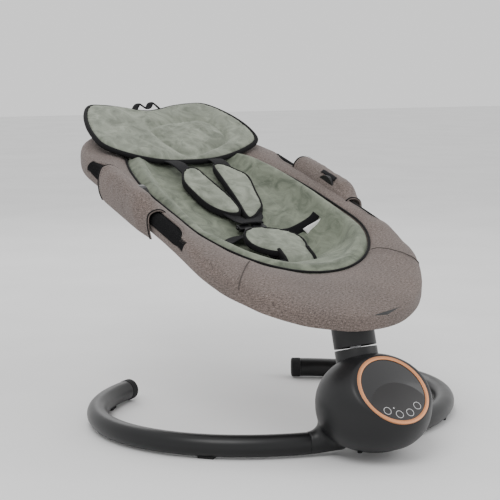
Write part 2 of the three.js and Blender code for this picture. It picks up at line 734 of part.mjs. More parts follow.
// The harness leaves the backrest under the pillow and comes forward to the hinge line.
const strapLine = { foot: hinge.y + hingeCut + 1, head: pillow.foot - 4, footX: 33, headX: 44 };
const strapX = (y) =>
  THREE.MathUtils.mapLinear(y, strapLine.foot, strapLine.head, strapLine.footX, strapLine.headX);
const strapHeight = (y) => cushionTop(strapX(y) + webbing.width / 2, y) + webbing.lift;
const shoulderStrap = (side) =>
  strapSolid(spaced(strapLine.foot, strapLine.head, 12), (y) => side * strapX(y), strapHeight);
function shoulderPad(side) {
  const middle = hinge.y + pad.behindHinge + pad.length / 2;
  const centre = [side * (strapX(middle) + pad.outward), middle];
  const outline = roundedOutline(centre, pad.width / 2, pad.length / 2, -side * pad.turn);
  return padSolid(pad, centre, outline, (x, y) => strapHeight(y) + webbing.thickness + 1, 20);
}

// The buckle and the strap between the legs.
const buckleZ = cushionTop(0, buckle.y) + buckle.lift;
const onBuckle = (geometry) => geometry.rotateX(buckle.tilt).translate(0, buckle.y, buckleZ);
const strapMouth = { height: 4.4, depth: 14, z: 4 };
function buckleBody() {
  const [w, l, r] = [buckle.width / 2, buckle.length / 2, buckle.corner];
  const shape = new THREE.Shape()
    .moveTo(-w + r, -l).lineTo(w - r, -l).absarc(w - r, -l + r, r, -Math.PI / 2, 0)
    .lineTo(w, l - r).absarc(w - r, l - r, r, 0, Math.PI / 2)
    .lineTo(-w + r, l).absarc(-w + r, l - r, r, Math.PI / 2, Math.PI)
    .lineTo(-w, -l + r).absarc(-w + r, -l + r, r, Math.PI, 1.5 * Math.PI);
  const block = new THREE.ExtrudeGeometry(shape, { depth: buckle.height, bevelEnabled: false, curveSegments: 4 });
  const well = rod(buckle.buttonRadius + running, buckle.floor, 2 * buckle.height, 20);
  const mouths = [-1, 1].map((side) =>
    box(tongue.slotWidth, 24, tongue.slotHeight, side * tongue.x, l, buckle.height / 2));
  const belt = box(webbing.width + 3, strapMouth.depth, strapMouth.height, 0, -l, strapMouth.z);
  return onBuckle(without(block, well, belt, ...mouths));
}
const buckleButton = () => {
  const bottom = buckle.floor + buckle.buttonTravel + gap;
  return onBuckle(rod(buckle.buttonRadius, bottom, buckle.height + 0.5, 20));
};
// A tongue: a blade in the buckle's mouth, and a head with a slot that its strap goes round.
function tongueSolid(side) {
  const [headY, z] = [buckle.length / 2 + tongue.head, buckle.height / 2];
  const bladeWidth = tongue.slotWidth - 1.4;
  const blade = box(bladeWidth, 10, tongue.slotHeight - 1.4, side * tongue.x, buckle.length / 2 + 2, z);
  const head = box(24, 16, 6, side * tongue.headX, headY, z);
  const slot = box(40, 6, 4.2, side * tongue.headX, headY, z);
  const bar = box(30, 5, 3.4, side * tongue.headX, headY, z);
  return onBuckle(joined(without(head, slot), blade, bar));
}
function crotchStrap() {
  const [foot, head] = [264, buckle.y - buckle.length / 2 + 2];
  const end = buckleZ - (buckle.length / 2) * Math.sin(buckle.tilt) + 2.4;
  const start = cushionTop(0, foot) + 3;
  const height = (y) => Math.max(cushionTop(0, y) + 1.5, THREE.MathUtils.mapLinear(y, foot, head, start, end));
  return strapSolid(spaced(foot, head, 7), () => 0, height);
}
function crotchPadSolid() {
  const { foot, length, width } = crotchPad;
  const centre = [0, foot + length / 2];
  const footZ = cushionTop(0, foot) + crotchPad.footLift;
  const headZ = cushionTop(0, foot + length) + crotchPad.headLift;
  const under = (x, y) =>
    THREE.MathUtils.mapLinear(y, foot, foot + length, footZ, headZ) + crotchPad.curl * ((2 * x) / width) ** 2;
  return padSolid(crotchPad, centre, roundedOutline(centre, width / 2, length / 2), under, 24);
}
// A waist strap from the seat's side to the buckle's tongue, lying over the cushion.
function waistStrap(side) {
  const along = (x) => (Math.abs(x) - waist.fromX) / (waist.toX - waist.fromX);
  const lineY = (x) => buckle.y + waist.foot - waist.drift * along(x);
  const half = webbing.width / 2;
  const places = spaced(waist.fromX, waist.toX, 8).map((x) => side * x);
  const front = places.map((x) => [x, lineY(x) - half]);
  const back = [...places].reverse().map((x) => [x, lineY(x) + half]);
  const edge = [...front, ...back];
  const spine = edge.map(([x]) => [x, lineY(x)]);
  const height = (x) => Math.max(cushionTop(x, lineY(x) - half), cushionTop(x, lineY(x) + half)) + waist.lift;
  const rings = side > 0 ? [spine, edge] : [[...spine].reverse(), [...edge].reverse()];
  return sheetSolid(rings, (x) => height(x) + webbing.thickness, (x) => height(x));
}

// The butterfly pillow, which rises towards its sides.
function headPillow() {
  const centre = [0, (pillow.foot + pillow.head) / 2];
  const half = (pillow.head - pillow.foot) / 2;
  const outline = (angle) => {
    const [c, s] = [Math.cos(angle), Math.sin(angle)];
    const side = pillow.halfWidth * (1 - pillow.taper * s);
    return [side * power(c, 0.7), centre[1] + half * power(s, 0.7)];
  };
  const under = (x, y) => {
    const line = THREE.MathUtils.mapLinear(y, pillow.foot, pillow.head, pillow.footZ, pillow.headZ);
    const side = pillow.sideLift * (x / pillow.halfWidth) ** 2;
    return Math.max(line + side, seatTop(x, y) + pillow.clearance);
  };
  const top = (x, y) => {
    const out = Math.hypot(x / (pillow.halfWidth * 1.02), (y - centre[1]) / (half * 1.25));
    const crown = Math.sqrt(Math.max(0, 1 - Math.min(1, out) ** 3));
    return under(x, y) + pillow.edge + (pillow.thickness - pillow.edge) * crown;
  };
  return sheetSolid(ringsOf(outline, [0, 0.45, 0.75, 0.93, 1], 40, centre), top, under);
}
// The highest surface of the seat at a place: the cushion, or the cover's roll around it.
const seatTop = (x, y) => (share(x, y) < 1 ? cushionTop(x, y) : rimHeight(y) + cover.edgeRise);

// ---------- the model ----------
const finish = (color, roughness, metalness = 0) => new THREE.MeshStandardMaterial({ color, roughness, metalness });
const materials = {
  blackPlastic: finish(0x2b2c2e, 0.45),
  blackPaint: finish(0x26272a, 0.4, 0.3),
  rubber: finish(0x161616, 0.9),
  copper: finish(0xc8895c, 0.35, 0.9),
  glass: finish(0x1c1c20, 0.12),
  steel: finish(0x9a9ca0, 0.35, 1),
  brass: finish(0xb08850, 0.5, 0.8),
  board: finish(0x1f5a3c, 0.6),
  linen: finish(0x8d807a, 0.95),
  velour: finish(0x8b9483, 0.9),
  webbing: finish(0x1d1d1f, 0.8),
  knit: finish(0x151516, 0.95),
};

const swing = new THREE.Group();
function add(name, geometry, material) {
  const mesh = new THREE.Mesh(geometry, material);
  mesh.name = name;
  swing.add(mesh);
}
const sides = { left: -1, right: 1 };

function addBase() {
  add("base_shell", baseShell(), materials.blackPlastic);
  add("base_tray", baseTray(), materials.blackPlastic);
  screwPlaces.forEach((place, i) => add(`tray_screw_${i + 1}`, screwSolid(place), materials.steel));
  for (const [name, side] of Object.entries(sides)) {
    add(`${name}_leg_tube`, legTube(side), materials.blackPaint);
    add(`${name}_leg_cap`, legCap(side), materials.rubber);
    add(`${name}_front_foot`, foot(side * 47 * degrees), materials.rubber);
    add(`${name}_rear_foot`, foot(side * 132 * degrees), materials.rubber);
  }
  add("trim_ring", trimRing(), materials.copper);
  add("control_panel", controlPanel(), materials.glass);
  add("control_board", controlBoard(), materials.board);
  add("speaker", speaker(), materials.blackPlastic);
  add("power_socket", powerSocket(), materials.blackPlastic);
  add("stem_base", stemBase(), materials.blackPlastic);
  add("lower_bearing", lowerBearing(), materials.steel);
  add("upper_bearing", upperBearing(), materials.steel);
  add("drive_coil", driveCoil(), materials.brass);
}

function addSeat() {
  add("swing_shaft", shaft(), materials.steel);
  add("stem_sleeve", stemSleeve(), materials.blackPlastic);
  add("magnet_arm", magnetArm(), materials.steel);
  add("seat_bracket", seatBracket(), materials.blackPaint);
  add("front_frame_tube", frameTubeSolid(-1), materials.blackPaint);
  add("front_cover", frontCover(), materials.linen);
  add("seat_cushion", within(cushionSolid(), beforeHinge()), materials.velour);
  add("crotch_strap", crotchStrap(), materials.webbing);
  add("crotch_pad", crotchPadSolid(), materials.velour);
  add("buckle_body", buckleBody(), materials.blackPlastic);
  add("buckle_button", buckleButton(), materials.blackPlastic);
  for (const [name, side] of Object.entries(sides)) {
    add(`${name}_hinge_plate`, hingeHalf(side, -1), materials.blackPlastic);
    add(`${name}_front_cuff`, frameCuff(side, cuff.frontFrom, cuff.frontTo), materials.knit);
    add(`${name}_buckle_tongue`, tongueSolid(side), materials.blackPlastic);
    add(`${name}_waist_strap`, waistStrap(side), materials.webbing);
  }
}

function addBackrest() {
  add("back_frame_tube", frameTubeSolid(1), materials.blackPaint);
  add("back_cover", backCover(), materials.linen);
  add("back_cushion", within(cushionSolid(), behindHinge()), materials.velour);
  add("head_pillow", headPillow(), materials.velour);
  for (const [name, side] of Object.entries(sides)) {
    add(`${name}_hinge_disc`, hingeHalf(side, 1), materials.blackPlastic);
    add(`${name}_hinge_pin`, hingePin(side), materials.steel);
    add(`${name}_recline_button`, reclineButton(side), materials.blackPlastic);
    add(`${name}_back_cuff`, frameCuff(side, cuff.backFrom, cuff.backTo), materials.knit);
    add(`${name}_hinge_flap`, hingeFlap(side), materials.linen);
    add(`${name}_shoulder_strap`, shoulderStrap(side), materials.webbing);
    add(`${name}_shoulder_pad`, shoulderPad(side), materials.velour);
  }
}

addBase();
addSeat();
addBackrest();

const bounds = new THREE.Box3().setFromObject(swing, true);
const middle = bounds.getCenter(new THREE.Vector3());
swing.position.set(-middle.x, -middle.y, -bounds.min.z);

export default swing;
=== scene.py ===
"""A baby swing: a reclining seat on a leaning stem, over a round motor housing and a C-shaped tube base.

Sizes are millimetres from the point where the stem's axis meets the floor, with the foot end towards -Y.
row() turns them into the frame's metres. Places come from the frame's nodes and joints.
"""
import json
import math

import bmesh
import bpy
import numpy as np
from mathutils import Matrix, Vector


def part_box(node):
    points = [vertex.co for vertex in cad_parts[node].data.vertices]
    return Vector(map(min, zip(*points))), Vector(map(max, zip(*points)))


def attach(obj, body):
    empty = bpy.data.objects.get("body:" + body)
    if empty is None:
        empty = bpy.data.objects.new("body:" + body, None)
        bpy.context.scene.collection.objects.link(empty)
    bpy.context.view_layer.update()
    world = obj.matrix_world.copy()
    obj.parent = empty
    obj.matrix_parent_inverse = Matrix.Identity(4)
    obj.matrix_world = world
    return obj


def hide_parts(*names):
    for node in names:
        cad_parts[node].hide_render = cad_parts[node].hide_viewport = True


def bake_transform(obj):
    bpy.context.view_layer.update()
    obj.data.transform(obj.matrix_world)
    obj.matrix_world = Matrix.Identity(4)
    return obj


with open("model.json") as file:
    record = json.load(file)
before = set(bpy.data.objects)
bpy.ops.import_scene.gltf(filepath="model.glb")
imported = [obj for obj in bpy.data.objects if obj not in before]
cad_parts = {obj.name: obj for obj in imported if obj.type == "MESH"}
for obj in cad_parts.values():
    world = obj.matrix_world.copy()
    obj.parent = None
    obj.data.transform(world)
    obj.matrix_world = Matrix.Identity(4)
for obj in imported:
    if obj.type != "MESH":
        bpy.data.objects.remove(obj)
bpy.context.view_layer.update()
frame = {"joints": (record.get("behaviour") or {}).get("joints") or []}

MM = 0.001
JOINTS = {joint["name"]: joint for joint in frame["joints"]}
SIDES = {"left": -1, "right": 1}


# ---------- places from the frame ----------
def stem_foot():
    """Where the stem's axis meets the floor, along Y, in metres."""
    place, axis = JOINTS["seat_swing"]["pos_m"], JOINTS["seat_swing"]["axis"]
    return place[1] - place[2] * axis[1] / axis[2]


STEM_Y = stem_foot()
STEM_LEAN = math.atan2(JOINTS["seat_swing"]["axis"][1], JOINTS["seat_swing"]["axis"][2])


def row(points):
    return np.asarray(points, float) * MM + (0.0, STEM_Y, 0.0)


def span(node):
    """A node's lowest and highest corners, in millimetres from the stem's foot."""
    return [(np.array(corner) - (0.0, STEM_Y, 0.0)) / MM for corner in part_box(node)]


HINGE_Y, HINGE_Z = (np.array(JOINTS["backrest_recline"]["pos_m"])[1:] - (STEM_Y, 0.0)) / MM
FRONT_COVER, BACK_COVER = span("front_cover"), span("back_cover")
SEAT_PAD, BACK_PAD = span("seat_cushion"), span("back_cushion")

# Egg outlines in plan: half an ellipse at each end, and straight sides between.
RIM = dict(half=FRONT_COVER[1][0], tip=FRONT_COVER[0][1], foot=225, head=600, top=BACK_COVER[1][1])
OPENING = dict(half=SEAT_PAD[1][0], tip=SEAT_PAD[0][1], foot=300, head=400, top=BACK_PAD[1][1])
FRAME_X = 195  # of the frame tube's straight sides
FRAME_DROP = 14  # of the frame tube below the rim
RIM_OVER_HINGE = 8
SLOPE, FOOT_SLOPE = math.tan(math.radians(15.5)), math.tan(math.radians(25))
BEND_Y, BEND_SOFT = 235, 30
SEAT = dict(edge=9, depth=74, deepest=285, foot=90, head=210, bowl=1.2, wall=2.4)
ROLL = dict(at=0.88, width=0.09, height=20, foot=7, head=8, head_y=(566, 666))
SLOT = dict(front=254, back=602)


def smoothstep(low, high, value):
    t = np.clip((value - low) / (high - low), 0, 1)
    return t * t * (3 - 2 * t)


def softplus(t):
    return np.log1p(np.exp(-np.abs(t))) + np.maximum(t, 0)


def rim_height(y):
    bend = BEND_SOFT * softplus((BEND_Y - y) / BEND_SOFT)
    return HINGE_Z + RIM_OVER_HINGE + SLOPE * (y - HINGE_Y) - (FOOT_SLOPE - SLOPE) * bend


def share(x, y, egg=OPENING):
    """How far out a place is: 0 on the middle line and 1 on the outline."""
    centre = np.clip(y, egg["foot"], egg["head"])
    reach = np.where(y < centre, egg["foot"] - egg["tip"], egg["top"] - egg["head"])
    return np.hypot(x / egg["half"], (y - centre) / reach)


def pad_height(x, y):
    """The top of the seat pad: a bowl with a stuffed roll along its edge."""
    out = np.minimum(share(x, y), 1)
    reach = np.where(y < SEAT["deepest"], SEAT["foot"], SEAT["head"])
    depth = SEAT["depth"] * np.exp(-(np.abs(y - SEAT["deepest"]) / reach) ** SEAT["bowl"])
    to_seat = smoothstep(OPENING["tip"], SEAT["deepest"], y)
    height = ROLL["foot"] + (ROLL["height"] - ROLL["foot"]) * to_seat
    height = height + (ROLL["head"] - height) * smoothstep(*ROLL["head_y"], y)
    roll = height * np.exp(-((out - ROLL["at"]) / ROLL["width"]) ** 2)
    return rim_height(y) - SEAT["edge"] + roll - depth * (1 - out ** SEAT["wall"])


def egg_stations(egg, count):
    """Points around an egg outline at even steps, from the foot tip towards the right side."""
    quarter = np.linspace(0, math.pi / 2, 300)
    foot = egg["half"] * np.sin(quarter), egg["foot"] - (egg["foot"] - egg["tip"]) * np.cos(quarter)
    head = egg["half"] * np.cos(quarter), egg["head"] + (egg["top"] - egg["head"]) * np.sin(quarter)
    right = np.concatenate([np.stack(foot, 1), np.stack(head, 1)])
    return even(np.concatenate([right, (right * (-1, 1))[-2::-1]]), count)


def even(points, count, closed=True):
    """A polyline resampled at even steps. A closed one ends where it starts, and that point is given once."""
    steps = np.linalg.norm(np.diff(points, axis=0), axis=1)
    along = np.concatenate([[0], np.cumsum(steps)])
    wanted = np.linspace(0, along[-1], count, endpoint=not closed)
    return np.stack([np.interp(wanted, along, column) for column in points.T], 1)


def rounded(points, count, closed=True):
    """A smooth line through a few points, at even steps."""
    points = np.asarray(points, float)
    padded = np.concatenate([points[-2:], points, points[:3]]) if closed else \
        np.concatenate([[2 * points[0] - points[1]], points, [2 * points[-1] - points[-2]]])
    start = 1
    spans = len(points) if closed else len(points) - 1
    first = start + 1 if closed else start
    t = np.linspace(0, 1, 24, endpoint=False)[:, None]
    line = []
    for i in range(first, first + spans):
        a, b, c, d = padded[i - 1:i + 3]
        line.append(0.5 * (2 * b + (c - a) * t + (2 * a - 5 * b + 4 * c - d) * t ** 2
                           + (3 * b - a - 3 * c + d) * t ** 3))
    line.append(points[:1] if closed else points[-1:])
    return even(np.concatenate(line), count, closed)


def waves(points, size, seed, count=16):
    """Smooth seeded waviness from -1 to 1 over places in millimetres."""
    random = np.random.default_rng(seed)
    points = np.asarray(points, float)
    total = 0
    for _ in range(count):
        direction = random.normal(size=points.shape[-1])
        direction *= 2 * math.pi / (size * random.uniform(0.6, 1.6) * np.linalg.norm(direction))
        total = total + np.sin(points @ direction + random.uniform(0, 2 * math.pi))
    return total / math.sqrt(count) / 1.6


def folds(points, size, seed):
    """Narrow soft ridges between 0 and 1, as in cloth that has been pushed together."""
    bent = np.asarray(points, float) + 0.25 * size * np.stack(
        [waves(points, 1.5 * size, seed + k) for k in range(np.shape(points)[-1])], -1)
    return np.exp(-(waves(bent, size, seed + 9) / 0.22) ** 2)


# ---------- mesh helpers ----------
def linked(name, data):
    made = bpy.data.objects.new(name, data)
    bpy.context.scene.collection.objects.link(made)
    return made


def piece(name, points, faces, material, smooth=True):
    mesh = bpy.data.meshes.new(name)
    mesh.from_pydata(row(points).tolist(), [], faces)
    mesh.polygons.foreach_set("use_smooth", [smooth] * len(mesh.polygons))
    mesh.materials.append(material)
    mesh.update()
    return linked(name, mesh)


def tidy(made, outwards=True, merge=0.02):
    """Merges doubles and turns the faces of a closed mesh outwards."""
    work = bmesh.new()
    work.from_mesh(made.data)
    bmesh.ops.remove_doubles(work, verts=work.verts, dist=merge * MM)
    if outwards:
        bmesh.ops.recalc_face_normals(work, faces=work.faces)
    work.to_mesh(made.data)
    work.free()
    made.data.update()
    return made


def quads(rows, columns, close_rows=False, close_columns=True):
    faces = []
    for i in range(rows if close_rows else rows - 1):
        for j in range(columns if close_columns else columns - 1):
            a, b = i * columns + j, i * columns + (j + 1) % columns
            below = ((i + 1) % rows) * columns
            faces.append((a, b, below + (j + 1) % columns, below + j))
    return faces


def tube(name, rings, material, ends=True):
    """A skin over rings of points. Its ends are closed by a point in each end ring's middle."""
    rings = np.asarray(rings, float)
    count, sides = rings.shape[:2]
    faces = quads(count, sides, close_rows=not ends)
    points = rings.reshape(-1, 3)
    if ends:
        points = np.concatenate([points, rings[:1].mean(1), rings[-1:].mean(1)])
        first, last = count * sides, count * sides + 1
        faces += [(first, (j + 1) % sides, j) for j in range(sides)]
        base = (count - 1) * sides
        faces += [(last, base + j, base + (j + 1) % sides) for j in range(sides)]
    return tidy(piece(name, points, faces, material))


def frames_along(path, closed=False, up=(0, 0, 1)):
    """Tangent, side and up at each point of a path."""
    path = np.asarray(path, float)
    along = np.roll(path, -1, 0) - np.roll(path, 1, 0) if closed else np.gradient(path, axis=0)
    along /= np.linalg.norm(along, axis=1)[:, None]
    side = np.cross(along, np.broadcast_to(np.asarray(up, float), along.shape))
    side /= np.linalg.norm(side, axis=1)[:, None]
    return along, side, np.cross(side, along)


def ribbon(path, width, height, sides=12, closed=False, power=1.0, up=(0, 0, 1)):
    """Rings of a rounded flat section along a path."""
    _, side, normal = frames_along(path, closed, up)
    turn = np.linspace(0, 2 * math.pi, sides, endpoint=False)
    across = width / 2 * np.sign(np.cos(turn)) * np.abs(np.cos(turn)) ** power
    rise = height / 2 * np.sign(np.sin(turn)) * np.abs(np.sin(turn)) ** power
    return path[:, None] + side[:, None] * across[None, :, None] + normal[:, None] * rise[None, :, None]


def baked(made):
    """The object's mesh with its modifiers applied."""
    bpy.context.view_layer.update()
    graph = bpy.context.evaluated_depsgraph_get()
    mesh = bpy.data.meshes.new_from_object(made.evaluated_get(graph), depsgraph=graph)
    made.modifiers.clear()
    made.data = mesh
    mesh.polygons.foreach_set("use_smooth", [True] * len(mesh.polygons))
    return made


def coordinates(made):
    """The mesh's points in millimetres from the stem's foot."""
    flat = np.empty(len(made.data.vertices) * 3)
    made.data.vertices.foreach_get("co", flat)
    return (flat.reshape(-1, 3) - (0.0, STEM_Y, 0.0)) / MM


def move_to(made, points):
    made.data.vertices.foreach_set("co", row(points).ravel())
    made.data.update()


def normals_of(made):
    flat = np.empty(len(made.data.vertices) * 3)
    made.data.vertices.foreach_get("normal", flat)
    return flat.reshape(-1, 3)


def thickened(made, thickness, offset=-1):
    modifier = made.modifiers.new("thickness", "SOLIDIFY")
    modifier.thickness, modifier.offset, modifier.use_even_offset = thickness * MM, offset, True
    return baked(made)


def smoother(made, levels=1):
    modifier = made.modifiers.new("smooth", "SUBSURF")
    modifier.levels = modifier.render_levels = levels
    return baked(made)


# ---------- materials ----------
def finish(name, roughness, **constants):
    material = bpy.data.materials.new(name)
    material.use_nodes = True
    tree = material.node_tree
    skin = tree.nodes["Principled BSDF"]
    skin.inputs["Roughness"].default_value = roughness
    for socket, value in constants.items():
        skin.inputs[socket.replace("_", " ")].default_value = value
    return material, tree, skin


def add(tree, kind, inputs=(), **settings):
    """A node whose inputs, by name or number, are links or constants."""
    node = tree.nodes.new(kind)
    for name, value in settings.items():
        setattr(node, name, value)
    for socket, value in dict(inputs).items():
        if isinstance(value, bpy.types.NodeSocket):
            tree.links.new(value, node.inputs[socket])
        else:
            node.inputs[socket].default_value = value
    return node


def shaded(color, factor):
    return tuple(factor * c for c in color)


def painted(tree, skin, value, stops):
    """The base colour, from a ramp over a pattern."""
    tree.links.new(ramp(tree, value, stops), skin.inputs["Base Color"])


def places(tree, kind="Object", stretch=(1, 1, 1)):
    """Where the pattern is read: Object or UV coordinates, stretched."""
    source = add(tree, "ShaderNodeTexCoord")
    return add(tree, "ShaderNodeMapping", {"Vector": source.outputs[kind], "Scale": stretch}).outputs[0]


def noise(tree, where, scale, detail=2.0, roughness=0.5, distortion=0.0):
    return add(tree, "ShaderNodeTexNoise", {"Vector": where, "Scale": scale, "Detail": detail,
                                            "Roughness": roughness, "Distortion": distortion}).outputs["Fac"]


def ramp(tree, value, stops):
    node = add(tree, "ShaderNodeValToRGB", {"Fac": value})
    elements = node.color_ramp.elements
    for element, (place, color) in zip([elements[0], elements[1]], (stops[0], stops[-1])):
        element.position, element.color = place, (*color, 1)
    for place, color in stops[1:-1]:
        elements.new(place).color = (*color, 1)
    return node.outputs["Color"]


def multiplied(tree, a, b):
    """Two colours multiplied. The mix node's colour inputs have numbers only."""
    return add(tree, "ShaderNodeMix", {0: 1.0, 6: a, 7: b}, data_type="RGBA", blend_type="MULTIPLY").outputs[2]


def maths(tree, operation, a, b):
    return add(tree, "ShaderNodeMath", {0: a, 1: b}, operation=operation).outputs[0]


def wave(tree, where, per_metre, axis, distortion, detail, detail_scale):
    return add(tree, "ShaderNodeTexWave", {"Vector": where, "Scale": per_metre / 6.283, "Distortion": distortion,
                                           "Detail": detail, "Detail Scale": detail_scale},
               bands_direction=axis).outputs["Fac"]


def bumped(tree, skin, height, distance, strength=1.0):
    bump = add(tree, "ShaderNodeBump", {"Height": height, "Distance": distance, "Strength": strength})
    tree.links.new(bump.outputs[0], skin.inputs["Normal"])


def weave(tree, where, threads):
    """A plain weave: two sets of threads at a number of threads per metre."""
    return maths(tree, "MAXIMUM", *(wave(tree, where, threads, axis, 0.6, 1.0, 2.0) for axis in ("X", "Y")))


def melange_cloth():
    material, tree, skin = finish("melange_cloth", 0.92, Sheen_Weight=0.12, Sheen_Roughness=0.6)
    yarns = places(tree, "UV", (1, 3.2, 1))
    crossing = places(tree, "UV", (2.6, 1, 1))
    flecks = noise(tree, yarns, 210, 3.0, 0.7)
    counter = noise(tree, crossing, 330, 2.0, 0.6)
    mottle = maths(tree, "ADD", maths(tree, "MULTIPLY", flecks, 0.64), maths(tree, "MULTIPLY", counter, 0.36))
    color = ramp(tree, mottle, [(0.36, (0.040, 0.030, 0.026)), (0.47, (0.115, 0.088, 0.077)),
                                (0.55, (0.175, 0.138, 0.122)), (0.68, (0.300, 0.250, 0.228))])
    patches = noise(tree, places(tree, "UV"), 9, 2.0)
    shade = ramp(tree, patches, [(0.35, (0.88, 0.88, 0.88)), (0.7, (1.05, 1.03, 1.02))])
    tree.links.new(multiplied(tree, color, shade), skin.inputs["Base Color"])
    threads = maths(tree, "ADD", weave(tree, places(tree, "UV"), 950), mottle)
    bumped(tree, skin, threads, 0.0005, 0.7)
    return material


def velour(name, dark, light):
    """Brushed velour: a soft nap with lighter and darker strokes and a sheen at its edges."""
    material, tree, skin = finish(name, 0.85, Sheen_Weight=0.22, Sheen_Roughness=0.45,
                                  Sheen_Tint=(0.86, 0.92, 0.80, 1))
    where = places(tree)
    strokes = noise(tree, where, 26, 4.0, 0.62, 1.4)
    middle = tuple((a + b) / 2 for a, b in zip(dark, light))
    color = ramp(tree, strokes, [(0.30, dark), (0.50, middle), (0.70, light)])
    nap = noise(tree, where, 700, 2.0, 0.7)
    shade = ramp(tree, nap, [(0.3, (0.90, 0.90, 0.90)), (0.7, (1.06, 1.06, 1.06))])
    tree.links.new(multiplied(tree, color, shade), skin.inputs["Base Color"])
    height = maths(tree, "ADD", maths(tree, "MULTIPLY", noise(tree, where, 90, 3.0, 0.6), 1.6), nap)
    bumped(tree, skin, height, 0.0007, 0.55)
    return material


def black_textile(name, color, scale, distance, direction="X"):
    """Woven tape or knit, with ribs that follow its length."""
    material, tree, skin = finish(name, 0.85, Sheen_Weight=0.02, Sheen_Roughness=0.5, Specular_IOR_Level=0.2)
    where = places(tree)
    grain = noise(tree, where, scale * 0.5, 3.0, 0.7)
    ribs = wave(tree, where, scale, direction, 1.2, 2.0, 3.0)
    painted(tree, skin, grain, [(0.35, color), (0.68, shaded(color, 1.9))])
    bumped(tree, skin, maths(tree, "ADD", ribs, grain), distance, 0.6)
    return material


def moulded(name, color, roughness, grain=900, relief=0.00006, coat=0.0, spread=0.10):
    """Moulded or coated satin surface: a fine grain, and roughness that drifts a little from use."""
    material, tree, skin = finish(name, roughness, Coat_Weight=coat, Coat_Roughness=0.25, Specular_IOR_Level=0.36)
    where = places(tree)
    drift = noise(tree, where, 14, 3.0)
    painted(tree, skin, drift, [(0.3, shaded(color, 0.92)), (0.7, shaded(color, 1.08))])
    worn = add(tree, "ShaderNodeMapRange", {"Value": noise(tree, where, 40, 4.0),
                                            "To Min": roughness - spread / 2,
                                            "To Max": roughness + spread / 2})
    tree.links.new(worn.outputs[0], skin.inputs["Roughness"])
    bumped(tree, skin, noise(tree, where, grain, 2.0), relief, 0.5)
    return material


def metal(name, color, roughness, brush=(1, 1, 1)):
    material, tree, skin = finish(name, roughness, Metallic=1.0)
    where = places(tree, stretch=brush)
    lines = noise(tree, where, 500, 3.0, 0.7)
    painted(tree, skin, lines, [(0.3, shaded(color, 0.85)), (0.7, color)])
    bumped(tree, skin, lines, 0.00003, 0.4)
    return material


def plain(name, color, roughness, scale=600, **constants):
    material, tree, skin = finish(name, roughness, **constants)
    speckle = noise(tree, places(tree), scale, 2.0)
    painted(tree, skin, speckle, [(0.3, shaded(color, 0.94)), (0.7, color)])
    bumped(tree, skin, speckle, 0.00002, 0.3)
    return material


CLOTH = melange_cloth()
LINER = velour("sage_velour", (0.074, 0.088, 0.062), (0.215, 0.240, 0.180))
# A lighter copy of the sage velour for the pillow and the pads on top: painted light, standing for the light that
# falls on them
LIT_LINER = velour("lit_sage_velour", (0.112, 0.126, 0.096), (0.290, 0.314, 0.255))
BINDING = black_textile("black_binding", (0.0045, 0.0045, 0.005), 900, 0.0003)
WEBBING = black_textile("black_webbing", (0.005, 0.005, 0.006), 1200, 0.0004, "DIAGONAL")
KNIT = black_textile("black_knit", (0.003, 0.003, 0.0035), 1500, 0.0003, "Y")
THREAD = plain("dark_thread", (0.060, 0.048, 0.043), 0.8)
SHELL = moulded("satin_charcoal_shell", (0.0095, 0.0097, 0.0105), 0.40)
TUBE_COAT = moulded("satin_charcoal_coat", (0.0075, 0.0078, 0.0085), 0.34, 1400, 0.00003)
CAP = moulded("matt_cap_rubber", (0.010, 0.010, 0.011), 0.80, 700, 0.0001)
BUCKLE = moulded("black_buckle_plastic", (0.006, 0.006, 0.007), 0.46)
COPPER = metal("satin_copper_ring", (0.66, 0.30, 0.15), 0.34)
STEEL = metal("bright_steel", (0.60, 0.60, 0.62), 0.28)
WINDING = metal("enamelled_winding", (0.55, 0.30, 0.12), 0.40)
GLASS = plain("dark_touch_panel", (0.011, 0.011, 0.012), 0.30, Coat_Weight=0.3, Coat_Roughness=0.08)
DISPLAY = plain("display_window", (0.004, 0.003, 0.0035), 0.30, Coat_Weight=0.1, Coat_Roughness=0.10)
PRINT = plain("pale_grey_print", (0.75, 0.75, 0.76), 0.5)
BOARD = plain("circuit_board", (0.02, 0.12, 0.06), 0.5)
LABEL = plain("white_care_label", (0.82, 0.82, 0.80), 0.75, 1800, Sheen_Weight=0.1)


# ---------- patterns made by Geometry Nodes ----------
def new_tree(name, inputs):
    tree = bpy.data.node_groups.new(name, "GeometryNodeTree")
    tree.interface.new_socket("Geometry", in_out="INPUT", socket_type="NodeSocketGeometry")
    for label, kind in inputs:
        tree.interface.new_socket(label, in_out="INPUT", socket_type="NodeSocket" + kind)
    tree.interface.new_socket("Geometry", in_out="OUTPUT", socket_type="NodeSocketGeometry")
    return tree, tree.nodes.new("NodeGroupInput"), tree.nodes.new("NodeGroupOutput")


def closing(tree, geometry, given, out):
    real = add(tree, "GeometryNodeRealizeInstances", {"Geometry": geometry})
    colored = add(tree, "GeometryNodeSetMaterial", {"Geometry": real.outputs[0],
                                                    "Material": given.outputs["Material"]})
    tree.links.new(colored.outputs[0], out.inputs[0])


def laid_along(tree, given, line, pattern):
    """Copies of a pattern at even steps along a line, each facing along it."""
    spaced = add(tree, "GeometryNodeResampleCurve", {"Curve": line, "Length": given.outputs["Pitch"]},
                 mode="LENGTH")
    tangent = add(tree, "GeometryNodeInputTangent")
    turned = add(tree, "FunctionNodeAlignEulerToVector", {"Vector": tangent.outputs[0]}, axis="Z")
    return add(tree, "GeometryNodeInstanceOnPoints", {"Points": spaced.outputs[0], "Instance": pattern,
                                                      "Rotation": turned.outputs[0]}).outputs[0]


def ring_of(tree, resolution, radius):
    return add(tree, "GeometryNodeCurvePrimitiveCircle", {"Resolution": resolution, "Radius": radius}).outputs[0]


def swept(tree, line, section, caps=False):
    return add(tree, "GeometryNodeCurveToMesh", {"Curve": line, "Profile Curve": section,
                                                 "Fill Caps": caps}).outputs[0]


